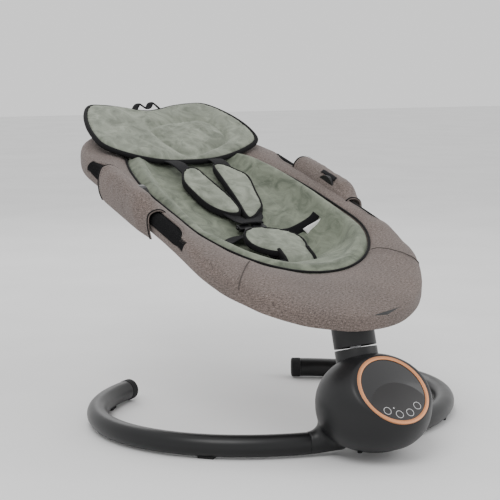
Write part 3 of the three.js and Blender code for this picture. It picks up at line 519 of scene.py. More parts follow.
def line_of(tree, given):
    return add(tree, "GeometryNodeMeshToCurve", {"Mesh": given.outputs["Geometry"]}).outputs[0]


def stitch_tree():
    """Small capsules laid end to end along the edges of a line."""
    tree, given, out = new_tree("stitches", [("Pitch", "Float"), ("Length", "Float"), ("Thickness", "Float"),
                                             ("Material", "Material")])
    ball = add(tree, "GeometryNodeMeshUVSphere", {"Segments": 6, "Rings": 4, "Radius": 0.5})
    size = add(tree, "ShaderNodeCombineXYZ", {"X": given.outputs["Thickness"], "Y": given.outputs["Thickness"],
                                              "Z": given.outputs["Length"]})
    shaped = add(tree, "GeometryNodeTransform", {"Geometry": ball.outputs["Mesh"], "Scale": size.outputs[0]})
    closing(tree, laid_along(tree, given, line_of(tree, given), shaped.outputs[0]), given, out)
    return tree


def rib_tree():
    """A sleeve along a line with rings round it at even steps."""
    tree, given, out = new_tree("knit_ribs", [("Pitch", "Float"), ("Radius", "Float"), ("Rib", "Float"),
                                              ("Material", "Material")])
    line = line_of(tree, given)
    sleeve = swept(tree, line, ring_of(tree, 32, given.outputs["Radius"]), caps=True)
    rib = swept(tree, ring_of(tree, 28, given.outputs["Radius"]), ring_of(tree, 6, given.outputs["Rib"]))
    both = add(tree, "GeometryNodeJoinGeometry")
    tree.links.new(sleeve, both.inputs[0])
    tree.links.new(laid_along(tree, given, line, rib), both.inputs[0])
    closing(tree, both.outputs[0], given, out)
    return tree


def rod_tree():
    """A round rod along a line, with flat ends."""
    tree, given, out = new_tree("rod", [("Radius", "Float"), ("Sides", "Int"), ("Material", "Material")])
    section = ring_of(tree, given.outputs["Sides"], given.outputs["Radius"])
    closing(tree, swept(tree, line_of(tree, given), section, caps=True), given, out)
    return tree


STITCHES, RIBS, ROD = stitch_tree(), rib_tree(), rod_tree()


def grown(name, tree, paths, material, **sizes):
    """A plain mesh that a tree grows from lines of points. Sizes are in millimetres."""
    points, edges = [], []
    for path in paths:
        first = len(points)
        points += list(path)
        edges += [(first + i, first + i + 1) for i in range(len(path) - 1)]
    mesh = bpy.data.meshes.new(name)
    mesh.from_pydata(row(points).tolist(), edges, [])
    made = linked(name, mesh)
    modifier = made.modifiers.new("grow", "NODES")
    modifier.node_group = tree
    sockets = {item.name: item.identifier for item in tree.interface.items_tree if item.in_out == "INPUT"}
    modifier[sockets["Material"]] = material
    for label, value in sizes.items():
        modifier[sockets[label]] = value if isinstance(value, int) else value * MM
    return baked(made)


def sewn(name, paths, material=None, pitch=5.0, length=3.4, thickness=0.8):
    return grown(name, STITCHES, paths, material or THREAD, Pitch=pitch, Length=length, Thickness=thickness)


# ---------- soft pieces by cloth simulation ----------
def swollen(made, voxel, cap, held):
    """Remeshes a pad, holds the places that held() picks, and lets cloth pressure swell the rest."""
    remesh = made.modifiers.new("even", "REMESH")
    remesh.mode, remesh.voxel_size = "VOXEL", voxel * MM
    baked(made)
    before = coordinates(made)
    group = made.vertex_groups.new(name="held")
    group.add(np.flatnonzero(held(before)).tolist(), 1.0, "ADD")
    cloth = made.modifiers.new("swell", "CLOTH")
    cloth.settings.use_pressure = True
    cloth.settings.uniform_pressure_force = 4
    cloth.settings.effector_weights.gravity = 0
    cloth.settings.vertex_group_mass = "held"
    for step in range(1, 21):
        bpy.context.scene.frame_set(step)
    baked(made)
    bpy.context.scene.frame_set(1)
    made.vertex_groups.clear()
    moved = coordinates(made) - before
    far = np.linalg.norm(moved, axis=1)[:, None]
    move_to(made, before + moved * np.minimum(1, cap / np.maximum(far, 1e-6)))
    return smoother(made)


def over_hinge(made):
    """Bakes the piece's place into its mesh and leaves it without a body; it does not bend at the recline hinge.
    """
    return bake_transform(made)


def placed(made, body, slot, *nodes):
    """Gives a finished piece to a body, or bakes its place into its mesh when it spans the hinge, and hides the
    nodes that it stands for.
    """
    if body == "hinge":
        over_hinge(made)
    else:
        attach(made, body)
    if nodes:
        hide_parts(*nodes)
    return made


# ---------- camera, floor and light ----------
CAMERA = dict(target=np.array((0, 0.0245, 0.2784)), distance=2.4176, azimuth=math.radians(-30.68),
              elevation=math.radians(7.96), lens=98.15, sensor=36)
FLOOR_REACH = 12
LIGHTS = {  # place, size and power
    "key": ((-1.3, -1.2, 2.3), 1.4, 26),
    "fill": ((2.0, -1.4, 1.4), 1.8, 12),
    "back": ((0.6, 2.2, 1.8), 1.6, 14),
}
LIT_PLACE = Vector((0, 0, 0.25))
SKY_STRENGTH = 1.05


def add_camera():
    camera = linked("camera", bpy.data.cameras.new("camera"))
    camera.data.lens, camera.data.sensor_width = CAMERA["lens"], CAMERA["sensor"]
    azimuth, elevation = CAMERA["azimuth"], CAMERA["elevation"]
    flat = CAMERA["distance"] * math.cos(elevation)
    rise = CAMERA["distance"] * math.sin(elevation)
    camera.location = CAMERA["target"] + (flat * math.sin(azimuth), -flat * math.cos(azimuth), rise)
    camera.rotation_euler = (math.pi / 2 - elevation, 0, azimuth)
    bpy.context.scene.camera = camera


def add_studio():
    mesh = bpy.data.meshes.new("studio_floor")
    far = FLOOR_REACH
    mesh.from_pydata([(-far, -far, 0), (far, -far, 0), (far, far, 0), (-far, far, 0)], [], [(0, 1, 2, 3)])
    mesh.materials.append(plain("pale_floor", (0.86, 0.86, 0.86), 0.9, 3))
    linked("studio_floor", mesh)
    world = bpy.data.worlds.new("studio")
    world.use_nodes = True
    sky = world.node_tree.nodes["Background"]
    sky.inputs["Color"].default_value = (1, 1, 1, 1)
    sky.inputs["Strength"].default_value = SKY_STRENGTH
    bpy.context.scene.world = world
    for name, (place, size, power) in LIGHTS.items():
        lamp = bpy.data.lights.new(name, "AREA")
        lamp.shape, lamp.size, lamp.energy = "DISK", size, power
        made = linked(name, lamp)
        made.location = place
        made.rotation_euler = (LIT_PLACE - Vector(place)).to_track_quat("-Z", "Y").to_euler()


# ---------- base ----------
RING = dict(half=316, depth=258, centre=295, z=20, tube=17.5, joint=math.radians(16.5), end=math.radians(143.5))
BALL = dict(radius=91, half=75, z=85, chin=2.4)
NECK = dict(angle=math.radians(6), radius=27, rise=12)
PANEL = dict(centre=np.array((0, -50.6, 115.4)), lean=math.radians(44), radius=60.5, ring=6.3,
             recess=1.6, step=(55.5, 59))
SPLIT_Z = 22
STEM = dict(inner=30, outer=34, bore=9.4, foot=128, slit=(168, 171), top=220, bevel=0.6)
SEAM = 0.4  # between pieces that meet
CAP_LENGTH = 17


def ring_line(angle, rise=0.0):
    angle = np.asarray(angle, float)
    return np.stack([RING["half"] * np.sin(angle), RING["centre"] - RING["depth"] * np.cos(angle),
                     np.full(angle.shape, RING["z"] + rise)], -1)


def ring_pace(angle):
    return math.hypot(RING["half"] * math.cos(angle), RING["depth"] * math.sin(angle))


def soft_max(a, b, blend):
    mix = np.clip(0.5 + 0.5 * (a - b) / blend, 0, 1)
    return b + (a - b) * mix + blend * mix * (1 - mix)


def housing_distance(points):
    """Roughly how far points are outside the housing: a ball cut by the panel, with a neck to each side."""
    x, y, z = points.T
    up = (z - BALL["z"]) / BALL["half"]
    power = np.where(up < 0, BALL["chin"], 2.0)
    ball = 80 * (((np.hypot(x, y) / BALL["radius"]) ** power + np.abs(up) ** power) ** (1 / power) - 1)
    lean, (_, panel_y, panel_z) = PANEL["lean"], PANEL["centre"]
    facing = (z - panel_z) * math.sin(lean) - (y - panel_y) * math.cos(lean)
    from_middle = np.hypot(x, (y - panel_y) * math.sin(lean) + (z - panel_z) * math.cos(lean))
    facing = facing + PANEL["recess"] * (1 - smoothstep(*PANEL["step"], from_middle))
    head = soft_max(soft_max(ball, facing, 4), SPLIT_Z - z, 1.5)
    angle = np.arctan2(np.abs(x) / RING["half"], (RING["centre"] - y) / RING["depth"])
    swell = smoothstep(RING["joint"] + 0.02, NECK["angle"], angle)
    centre = ring_line(angle)
    aside = np.hypot(np.abs(x) - centre[:, 0], y - centre[:, 1])
    lift = z - RING["z"] - NECK["rise"] * swell
    neck = np.hypot(aside, lift) - RING["tube"] - (NECK["radius"] - RING["tube"]) * swell
    neck = soft_max(neck, (NECK["angle"] - angle) * RING["half"], 4)
    return -soft_max(-head, -neck, 15)


def onto_surface(points, distance, rounds=8):
    """Points moved along the gradient until a distance function is zero."""
    step = 0.05
    for _ in range(rounds):
        value = distance(points)
        slope = np.stack([distance(points + step * axis) - distance(points - step * axis)
                          for axis in np.eye(3)], 1)
        slope /= 2 * step
        points = points - (value / np.maximum((slope ** 2).sum(1), 0.05))[:, None] * slope
    return points


def housing_shell():
    directions = []
    for level in np.linspace(-1, 1, 60):
        turn = np.linspace(0, 2 * math.pi, 96, endpoint=False)
        flat = math.sqrt(max(0.0, 1 - level ** 2))
        directions.append(np.stack([flat * np.cos(turn), flat * np.sin(turn), np.full(96, level)], 1))
    rings = np.array(directions)[1:-1]
    low, high = np.full(rings.shape[:2], 5.0), np.full(rings.shape[:2], 125.0)
    core = np.array((0, 0, 72.0))
    for _ in range(24):
        middle = (low + high) / 2
        inside = housing_distance((core + rings * middle[..., None]).reshape(-1, 3)).reshape(low.shape) < 0
        low, high = np.where(inside, middle, low), np.where(inside, high, middle)
    ball = tube("housing_shell", core + rings * low[..., None], SHELL)
    angles = np.linspace(math.radians(7), RING["joint"] + 0.08, 12)
    for side in SIDES.values():
        line = ring_line(side * angles, 6)
        neck = tube("neck", ribbon(line, 38, 40, 24), SHELL)
        with bpy.context.temp_override(active_object=ball, selected_editable_objects=[ball, neck]):
            bpy.ops.object.join()
    remesh = ball.modifiers.new("even", "REMESH")
    remesh.mode, remesh.voxel_size = "VOXEL", 2.6 * MM
    baked(ball)
    move_to(ball, onto_surface(coordinates(ball), housing_distance))
    work = bmesh.new()
    work.from_mesh(ball.data)
    for side in SIDES.values():
        angle = side * RING["joint"]
        place = row(ring_line(angle))
        heading = (side * RING["half"] * math.cos(angle), RING["depth"] * abs(math.sin(angle)), 0)
        everything = list(work.verts) + list(work.edges) + list(work.faces)
        cut = bmesh.ops.bisect_plane(work, geom=everything, plane_co=place, plane_no=heading, clear_outer=True)
        border = [g for g in cut["geom_cut"] if isinstance(g, bmesh.types.BMEdge)]
        bmesh.ops.holes_fill(work, edges=border)
    work.to_mesh(ball.data)
    work.free()
    ball.data.polygons.foreach_set("use_smooth", [len(p.vertices) < 8 for p in ball.data.polygons])
    return ball


def turned(name, profile, material, sides=128):
    """A solid turned about Z from [radius, height] points that start and end on the axis or close."""
    turn = np.linspace(0, 2 * math.pi, sides, endpoint=False)
    profile = np.asarray(profile, float)
    rings = np.stack([profile[:, :1] * np.cos(turn), profile[:, :1] * np.sin(turn),
                      np.broadcast_to(profile[:, 1:], (len(profile), sides))], -1)
    closed = profile[0, 0] > 0 and np.allclose(profile[0], profile[-1])
    if closed:
        return tube(name, rings[:-1], material, ends=False)
    return tube(name, rings, material)


def bevelled(inner, outer, bottom, top, bevel):
    """The closed outline of a collar with small round edges."""
    corners = [(outer - bevel, bottom + bevel, -90), (outer - bevel, top - bevel, 0),
               (inner + bevel, top - bevel, 90), (inner + bevel, bottom + bevel, 180)]
    outline = [(x + bevel * math.cos(math.radians(start + turn)),
                y + bevel * math.sin(math.radians(start + turn)))
               for x, y, start in corners for turn in (0, 30, 60, 90)]
    return outline + outline[:1]


def sharpened(made, angle=38):
    work = bmesh.new()
    work.from_mesh(made.data)
    for edge in work.edges:
        edge.smooth = edge.calc_face_angle(0) < math.radians(angle)
    work.to_mesh(made.data)
    work.free()
    return made


def shifted(made, turn, move):
    """Turns a piece that was made about Z by an angle about X, then moves it, in its mesh."""
    points = coordinates(made)
    cos, sin = math.cos(turn), math.sin(turn)
    y, z = points[:, 1] * cos - points[:, 2] * sin, points[:, 1] * sin + points[:, 2] * cos
    move_to(made, np.stack([points[:, 0], y, z], 1) + move)
    return made


def on_stem(made):
    return shifted(made, -STEM_LEAN, (0, 0, 0))


def on_panel(made):
    return shifted(made, math.pi / 2 - PANEL["lean"], PANEL["centre"])


def make_tube_cap(name, side):
    """A rubber cap on a floor tube's end, with a small lip at its seam and a rounded end."""
    start = RING["end"] + SEAM / ring_pace(RING["end"])
    end = CAP_LENGTH - np.array([1.6, 0.8, 0.25, 0])
    along = np.concatenate([[0, 0.6, 1.2], np.linspace(3, CAP_LENGTH - 2.5, 5), end])
    radii = RING["tube"] + 0.8 - np.concatenate([[0.8, 0.2, 0], np.zeros(5), [0.4, 1.0, 1.8, 3.0]])
    path = ring_line(side * (start + along / ring_pace(RING["end"])))
    rings = ribbon(path, 2, 2, 48)
    rings = path[:, None] + (rings - path[:, None]) * radii[:, None, None]
    cap = sharpened(tube(f"{name}_tube_cap", rings, CAP), 50)
    placed(cap, "base", "cap_rubber", f"{name}_leg_cap")


def make_base():
    placed(housing_shell(), "base", "shell_plastic", "base_shell")
    for name, side in SIDES.items():
        start = RING["joint"] + SEAM / ring_pace(RING["joint"])
        leg = grown(f"{name}_floor_tube", ROD, [ring_line(side * np.linspace(start, RING["end"], 160))],
                    TUBE_COAT, Radius=RING["tube"], Sides=56)
        sharpened(tidy(leg, outwards=False))
        placed(leg, "base", "tube_paint", f"{name}_leg_tube")
        make_tube_cap(name, side)
    inner, outer, top = STEM["inner"], STEM["outer"], STEM["top"]
    low, high = STEM["slit"]
    lower = turned("stem_lower_half", bevelled(inner, outer, STEM["foot"], low, STEM["bevel"]), SHELL)
    placed(on_stem(sharpened(lower)), "base", "shell_plastic", "stem_base")
    hub = [(STEM["bore"], top), (STEM["bore"], top - 6)]
    line = [hub[1], (inner, top - 6), (inner, high + 0.6), (inner + 0.6, high), (outer - 0.6, high),
            (outer - 0.2, high + 0.2), (outer, high + 0.6), (outer, top), *hub]
    placed(on_stem(sharpened(turned("stem_upper_half", line, SHELL))), "seat", "shell_plastic", "stem_sleeve")


def make_panel():
    radius, width = PANEL["radius"], PANEL["ring"]
    trim = on_panel(turned("copper_ring", bevelled(radius - width, radius, -3, 0.3, 0.5), COPPER, 160))
    placed(trim, "base", "copper_trim", "trim_ring")
    edge = radius - width - 0.4
    glass = on_panel(sharpened(turned("touch_panel", [(0, -3), (edge, -3), (edge, -0.9), (edge - 0.2, -0.6),
                                                      (edge - 0.5, -0.5), (0, -0.5)], GLASS, 128)))
    placed(glass, "base", "panel_glass", "control_panel")
    window = display_window(edge - 1.0)
    placed(window, "base", "panel_glass")
    for number, degrees in enumerate((231, 258, 284, 311), 1):
        place = 43.6 * math.cos(math.radians(degrees)), 43.6 * math.sin(math.radians(degrees)), 0
        touch = turned(f"touch_circle_{number}", bevelled(5.7, 6.4, -0.5, -0.2, 0.08), PRINT, 48)
        move_to(touch, coordinates(touch) + place)
        placed(on_panel(touch), "base", "panel_glass")
    light = turned("pilot_light", [(0, -0.5), (1.1, -0.5), (1.1, -0.3), (0.9, -0.22), (0, -0.2)], PRINT, 20)
    move_to(light, coordinates(light) + (-14.4, -30.9, 0))
    placed(on_panel(light), "base", "panel_glass")


def display_window(radius):
    """A thin window with an arched top and the panel's own edge below."""
    middle, wide, tall = -38, 54, 50
    turn = np.linspace(0, 2 * math.pi, 240, endpoint=False)
    arch = np.stack([wide * np.cos(turn), middle + tall * np.sin(turn)], 1)
    out = np.linalg.norm(arch, axis=1)
    arch *= np.minimum(1, radius / out)[:, None]
    rings = [np.column_stack([arch, np.full(len(arch), height)]) for height in (-0.49, -0.36)]
    inner = [np.column_stack([arch * 0.985, np.full(len(arch), -0.33)])]
    return on_panel(sharpened(tube("display_window", np.array(rings + inner), DISPLAY)))


# ---------- cover ----------
COVER = dict(stations=480, thickness=2.2, floor=34, wall_from=19, air=17.4, slack=8, spine=(425, 435, 150 / 310))
# The wall is shallower and more upright round the foot end, and the underside hangs lower round the stem.
FOOT_WALL = dict(share=0.5, reach=110, upright=0.92)
SKIRT = dict(drop=15, y=66, across=62, along=42)
# From the opening's lip over the rim and down to the edge of the underside:
# share of the band, height from the rim.
BAND = [(-0.05, -15), (0, -8), (0.12, -3), (0.35, 1.2), (0.65, 2), (0.86, -0.5), (0.97, -7), (1, -14),
        (0.997, -19), (0.984, -20.5), (0.994, -22.5), (0.995, -27), (0.99, -31), (0.97, -34)]
BAND_WALL = 60  # the band's width that the shares of its wall rows are taken from
SLOT_ROWS = (3.85, 10)  # along BAND: the slot's inner and outer edge
SLOT_END_ROW = 0.75 * SLOT_ROWS[0] + 0.25 * SLOT_ROWS[1]  # where the two edges meet at its ends
BAND_ROWS = 16  # above the slot, and as many below it
FLOOR_ROWS = 26
MITRES = {"left": ((-119, 175), (-177, 112)), "right": ((115, 170), (186, 130))}


def wall_depth(y, depth):
    """A depth below the rim, lessened near the foot end where it is below the crease."""
    lessened = 1 - FOOT_WALL["share"] * np.exp(-((y - RIM["tip"]) / FOOT_WALL["reach"]) ** 2)
    crease = COVER["wall_from"]
    return np.where(depth < crease, depth, crease + (depth - crease) * lessened)


def cover_floor(x, y):
    """The height of the cover's underside."""
    skirt = SKIRT["drop"] * np.exp(-((y - SKIRT["y"]) / SKIRT["along"]) ** 2 - (x / SKIRT["across"]) ** 2)
    wall = rim_height(y) - wall_depth(y, COVER["floor"]) - skirt
    return np.minimum(pad_height(x, y) - COVER["air"], wall + COVER["slack"] * np.maximum(0, 1 - share(x, y)))


def spine_of(opening):
    start, middle, rate = COVER["spine"]
    return np.column_stack([np.zeros(len(opening)), start + rate * (opening[:, 1] - middle)])


def nearest(points, line):
    """The place on a dense line nearest to each point."""
    gap = np.linalg.norm(points[:, None] - line[None], axis=2)
    return line[np.argmin(gap, 1)]


RIM_LINE = egg_stations(RIM, COVER["stations"])
OPENING_LINE = nearest(RIM_LINE, egg_stations(OPENING, 4000))


def band_point(row_at, at):
    """A place on the cover's band: row_at counts along BAND, and at picks the stations."""
    shares, heights = np.array(BAND).T
    order = np.arange(len(BAND))
    share_at = np.interp(row_at, order, shares)[..., None]
    band = RIM_LINE[at] - OPENING_LINE[at]
    wide = np.linalg.norm(band, axis=-1, keepdims=True)
    wall = np.minimum(1, BAND_WALL / wide)
    near_wall = smoothstep(0.86, 0.97, share_at)
    foot = np.exp(-((RIM_LINE[at][..., 1:] - RIM["tip"]) / FOOT_WALL["reach"]) ** 2)
    upright = wall * (1 - FOOT_WALL["upright"] * foot)
    flat = RIM_LINE[at] - (1 - share_at) * band * (1 - near_wall + near_wall * upright)
    height = rim_height(flat[..., 1]) - wall_depth(flat[..., 1], -np.interp(row_at, order, heights))
    return np.concatenate([flat, height[..., None]], -1)


def slot_opening():
    """How far the knit sleeve's slot is open at each station, from 0 to 1."""
    y = RIM_LINE[:, 1]
    along = (y - SLOT["front"]) / (SLOT["back"] - SLOT["front"])
    ends = np.minimum(along / 0.09, (1 - along) / 0.14)
    open_share = np.sqrt(np.clip(1 - (1 - np.clip(ends, 0, 1)) ** 2, 0, 1))
    return np.where(np.abs(RIM_LINE[:, 0]) > RIM["half"] * 0.8, open_share, 0)


def box_uv(made):
    """A UV map in metres, laid on each face from the side that it faces."""
    mesh = made.data
    layer = mesh.uv_layers.new(name="cut")
    for polygon in mesh.polygons:
        axis = int(np.argmax(np.abs(polygon.normal)))
        across, up = [k for k in range(3) if k != axis]
        for loop in polygon.loop_indices:
            place = mesh.vertices[mesh.loops[loop].vertex_index].co
            layer.data[loop].uv = place[across], place[up]
    return made


def slot_edges(opening, stations=slice(None)):
    """Where the slot's inner and outer edges are along BAND at each station."""
    return [SLOT_END_ROW + (row_at - SLOT_END_ROW) * opening[stations] for row_at in SLOT_ROWS]


def cover_points():
    """Rows of points from the opening's lip over the rim, down the wall and under the seat to the middle."""
    stations = np.arange(COVER["stations"])
    inner, outer = slot_edges(slot_opening())
    steps = np.linspace(0, 1, BAND_ROWS)
    bottom = len(BAND) - 1
    rows = [band_point(step * inner, stations) for step in steps]
    rows += [band_point(outer + step * (bottom - outer), stations) for step in steps]
    spine = spine_of(OPENING_LINE)
    edge = RIM_LINE * 0.97 + OPENING_LINE * 0.03
    for t in 1 - np.linspace(0, 1, FLOOR_ROWS + 1)[1:] ** 1.15:
        flat = spine + t * (edge - spine)
        rows.append(np.column_stack([flat, cover_floor(*flat.T)]))
    points = np.array(rows)
    puckers = 1.1 * waves(points * (1, 1, 2), 95, 5) + 0.7 * waves(points, 38, 6)
    outward = np.concatenate([RIM_LINE - OPENING_LINE, np.zeros((len(RIM_LINE), 1))], 1)
    outward /= np.linalg.norm(outward, axis=1)[:, None]
    calm = np.ones(len(rows))
    calm[:2] = 0.2
    points[..., 2] += puckers * calm[:, None] * 0.8
    points[:2 * BAND_ROWS] += (outward * 0.5)[None] * puckers[:2 * BAND_ROWS, :, None]
    return points


def mitre_seam(start, end):
    """A seam's line over the band, from near a corner of the opening to the rim."""
    station = int(np.argmin(np.linalg.norm(RIM_LINE - end, axis=1)))
    band = np.linalg.norm(RIM_LINE[station] - OPENING_LINE[station])
    seam = band_point(np.linspace(0.9, 6.6, 40), np.full(40, station))
    left = (1 - np.linspace(0, 1, 40))[:, None]
    seam[:, :2] += (start - seam[0, :2]) * left * min(1, band / 80)
    return seam + (0, 0, 0.9)


def make_cover():
    points = cover_points()
    count = COVER["stations"]
    shown = slot_opening() > 0
    gap_row = (BAND_ROWS - 1) * count
    gap_faces = {gap_row + j for j in range(count) if shown[j] and shown[(j + 1) % count]}
    faces = [face for i, face in enumerate(quads(len(points), count)) if i not in gap_faces]
    cover = tidy(piece("seat_cover", points.reshape(-1, 3), faces, CLOTH), merge=0.2)
    lowest = min(cover.data.polygons, key=lambda polygon: polygon.center.z)
    if lowest.normal.z > 0:
        cover.data.flip_normals()
    thickened(cover, COVER["thickness"])
    box_uv(cover)
    placed(cover, "hinge", "cover_cloth", "front_cover", "back_cover")
    for name, (start, end) in MITRES.items():
        seam = grown(f"{name}_mitre_seam", ROD, [mitre_seam(start, end)], THREAD, Radius=0.8, Sides=8)
        placed(seam, "seat", "cover_cloth")


def make_slot_stitches():
    """A row of stitches along the inner edge of each slot, on each side of the hinge."""
    opening = slot_opening()
    for name, side in SIDES.items():
        stations = np.flatnonzero((opening > 0) & (RIM_LINE[:, 0] * side > 0))
        stations = stations[np.argsort(RIM_LINE[stations, 1])]
        edge = band_point(slot_edges(opening, stations)[0] - 0.35, stations) + (0, 0, 1.0)
        for part, body, low, high in (("front", "seat", 0, HINGE_Y - 40),
                                      ("rear", "backrest", HINGE_Y + 40, 999)):
            kept = edge[(edge[:, 1] > low) & (edge[:, 1] < high)]
            placed(sewn(f"{name}_{part}_slot_stitches", [kept]), body, "cover_cloth")


# ---------- padded pieces ----------
def pad_body(name, outline, spine, middle, thickness, edge, material, rows=26):
    """A closed pad with a rounded edge. middle gives its mid height from x and y."""
    near = np.linspace(0, 1, rows)[:-1]
    shares = np.concatenate([near * 0.94, [0.955, 0.97, 0.982, 0.991, 0.997, 1.0]])
    shares = np.unique(shares)[1:]
    top, bottom = [], []
    for t in shares:
        flat = spine + t * (outline - spine)
        inset = np.linalg.norm(outline - flat, axis=1)
        rounding = np.sqrt(np.clip(1 - (1 - np.minimum(inset / edge, 1)) ** 2, 0, 1))
        half = thickness / 2 * rounding
        height = middle(*flat.T)
        top.append(np.column_stack([flat, height + half]))
        bottom.append(np.column_stack([flat, height - half]))
    centre = middle(*spine.T)
    crown = [np.column_stack([spine, centre + thickness / 2])]
    base = [np.column_stack([spine, centre - thickness / 2])]
    rings = np.array(crown + top + bottom[-2::-1] + base)
    faces = quads(len(rings), len(outline))
    return tidy(piece(name, rings.reshape(-1, 3), faces, material), merge=0.1)


LINER_THICKNESS = 12


def plan_gap(points, line):
    """How far places are from a line in plan."""
    return np.linalg.norm(points[:, None, :2] - line[None, ::2], axis=2).min(1)


def rim_held(outline, plane, edge=6, under=2):
    """Picks a pad's edge and its underside, for the cloth simulation to hold."""
    return lambda points: (plan_gap(points, outline) < edge) | (points[:, 2] < plane(*points[:, :2].T) - under)


def make_liner():
    opening = egg_stations(OPENING, 300)
    spine = spine_of(opening)
    inner = spine + 0.985 * (opening - spine)

    def middle(x, y):
        along = smoothstep(280, 330, y) * (1 - smoothstep(590, 620, y))
        seams = 2.6 * np.exp(-((np.abs(x) - 100) / 3.5) ** 2) * along
        across = 2.2 * np.exp(-((y - 508 - 0.0012 * x ** 2) / 4) ** 2) * (1 - smoothstep(96, 112, np.abs(x)))
        places_at = np.column_stack([x, y])
        soft = 1.3 * waves(places_at, 120, 31) + 0.8 * folds(places_at, 60, 32)
        return pad_height(x, y) - LINER_THICKNESS / 2 - seams - across + soft * (1 - share(x, y) ** 4)

    liner = pad_body("seat_liner", inner, spine, middle, LINER_THICKNESS, LINER_THICKNESS / 2, LINER, 44)
    placed(liner, "hinge", "liner_velour", "seat_cushion", "back_cushion")
    piping = np.column_stack([opening, rim_height(opening[:, 1]) - 6])
    cord = tube("opening_piping", ribbon(piping, 4, 4, 8, closed=True), BINDING, ends=False)
    placed(cord, "hinge", "harness_web")


def make_knit():
    for name, side in SIDES.items():
        for part, body, low, high, node in (("front", "seat", 241, 392, "front_cuff"),
                                            ("rear", "backrest", 468, 608, "back_cuff")):
            y = np.linspace(low, high, 60)
            path = np.column_stack([np.full(60, side * FRAME_X), y, rim_height(y) - FRAME_DROP])
            knit = grown(f"{name}_{part}_knit", RIBS, [path], KNIT, Pitch=2.6, Radius=12.2, Rib=1.3)
            placed(knit, body, "knit_cuff", f"{name}_{node}")


FLAP_Y = (344, 526)
FLAP_HEM_Y = 514
FLAP_BULGED = [(-12, -1), (-9, 10), (0, 20), (12, 24), (24, 20), (31, 6), (32, -12), (29, -28), (24, -40)]
FLAP_FLAT = [(-12, -1), (-8, 3), (0, 6), (10, 5), (19, 0), (22, -8), (22, -18), (20, -30), (17, -42)]


def flap_surface(side, y, count=44):
    """Rows of points across a hinge flap, one row for each y."""
    bulged = rounded(FLAP_BULGED, count, closed=False)
    flat = rounded(FLAP_FLAT, count, closed=False)
    full = smoothstep(344, 385, y) * (1 - 0.25 * smoothstep(505, 530, y))
    section = flat + full[:, None, None] * (bulged - flat)
    x = FRAME_X + section[..., 0]
    hem = 1.1 * np.exp(-((y - FLAP_HEM_Y) / 2.4) ** 2)
    dart = 3.0 * smoothstep(362, 374, y) * (1 - smoothstep(412, 428, y))
    groove = dart[:, None] * np.exp(-((section[..., 0] + 5) / 3) ** 2)
    ys = np.broadcast_to(y[:, None], x.shape)
    z = rim_height(ys) + section[..., 1] + hem[:, None] - groove
    crease = 1.2 * waves(np.stack([x, ys, z], -1), 34, 77 + side) + 0.5 * waves(np.stack([x, ys, z], -1), 15, 78)
    return np.stack([side * (x + 0.6 * crease * full[:, None]), ys, z + 0.6 * crease * full[:, None]], -1)


def make_flaps():
    for name, side in SIDES.items():
        y = np.linspace(*FLAP_Y, 84)
        surface = flap_surface(side, y)
        flap = piece(f"{name}_hinge_cover", surface.reshape(-1, 3),
                     quads(len(y), surface.shape[1], close_columns=False), CLOTH)
        middle = flap.data.polygons[len(flap.data.polygons) // 2]
        if middle.normal.z < 0:
            flap.data.flip_normals()
        thickened(flap, 2.0)
        box_uv(flap)
        for label, at in (("front", FLAP_Y[0] + 2), ("rear", FLAP_Y[1] - 2)):
            line = flap_surface(side, np.array([at, at + 1]))[0]
            edging = tube(f"{name}_flap_{label}_binding", ribbon(line, 3.4, 3.0, 10, up=(0, 1, 0.2)), BINDING)
            placed(edging, "hinge", "harness_web")
        hem = flap_surface(side, np.array([FLAP_HEM_Y, FLAP_HEM_Y + 1]))[0] + (side * 0.4, 0, 1.0)
        placed(sewn(f"{name}_flap_stitches", [hem[2:-2]]), "hinge", "cover_cloth")
        if name == "right":
            rows = flap_surface(side, np.linspace(397, 441, 16))[:, 8:12]
            tab = thickened(piece("hinge_tab", (rows + (0, 0, 2.4)).reshape(-1, 3),
                                  quads(16, 4, close_columns=False), WEBBING), 1.2, 0)
            placed(tab, "hinge", "harness_web")
        placed(flap, "hinge", "cover_cloth", f"{name}_hinge_flap")


# ---------- pillow, shoulder pads and crotch pad ----------
PILLOW_HALF = [(0, 602), (50, 602), (95, 608), (135, 618), (158, 628), (168, 645), (166, 690), (150, 740),
               (125, 778), (92, 788), (60, 788), (30, 781), (0, 776)]
PILLOW_SEAM = [(-27, 712), (5, 728), (67, 732), (95, 724), (113, 694), (108, 651), (60, 632),
               (6, 618), (-16, 654), (-26, 688)]
PILLOW_MIDDLE = (0.0, 692.0)


def pillow_height(x, y):
    return 421 + 0.50 * (y - 605) + 19 * (np.abs(x) / 165) ** 2


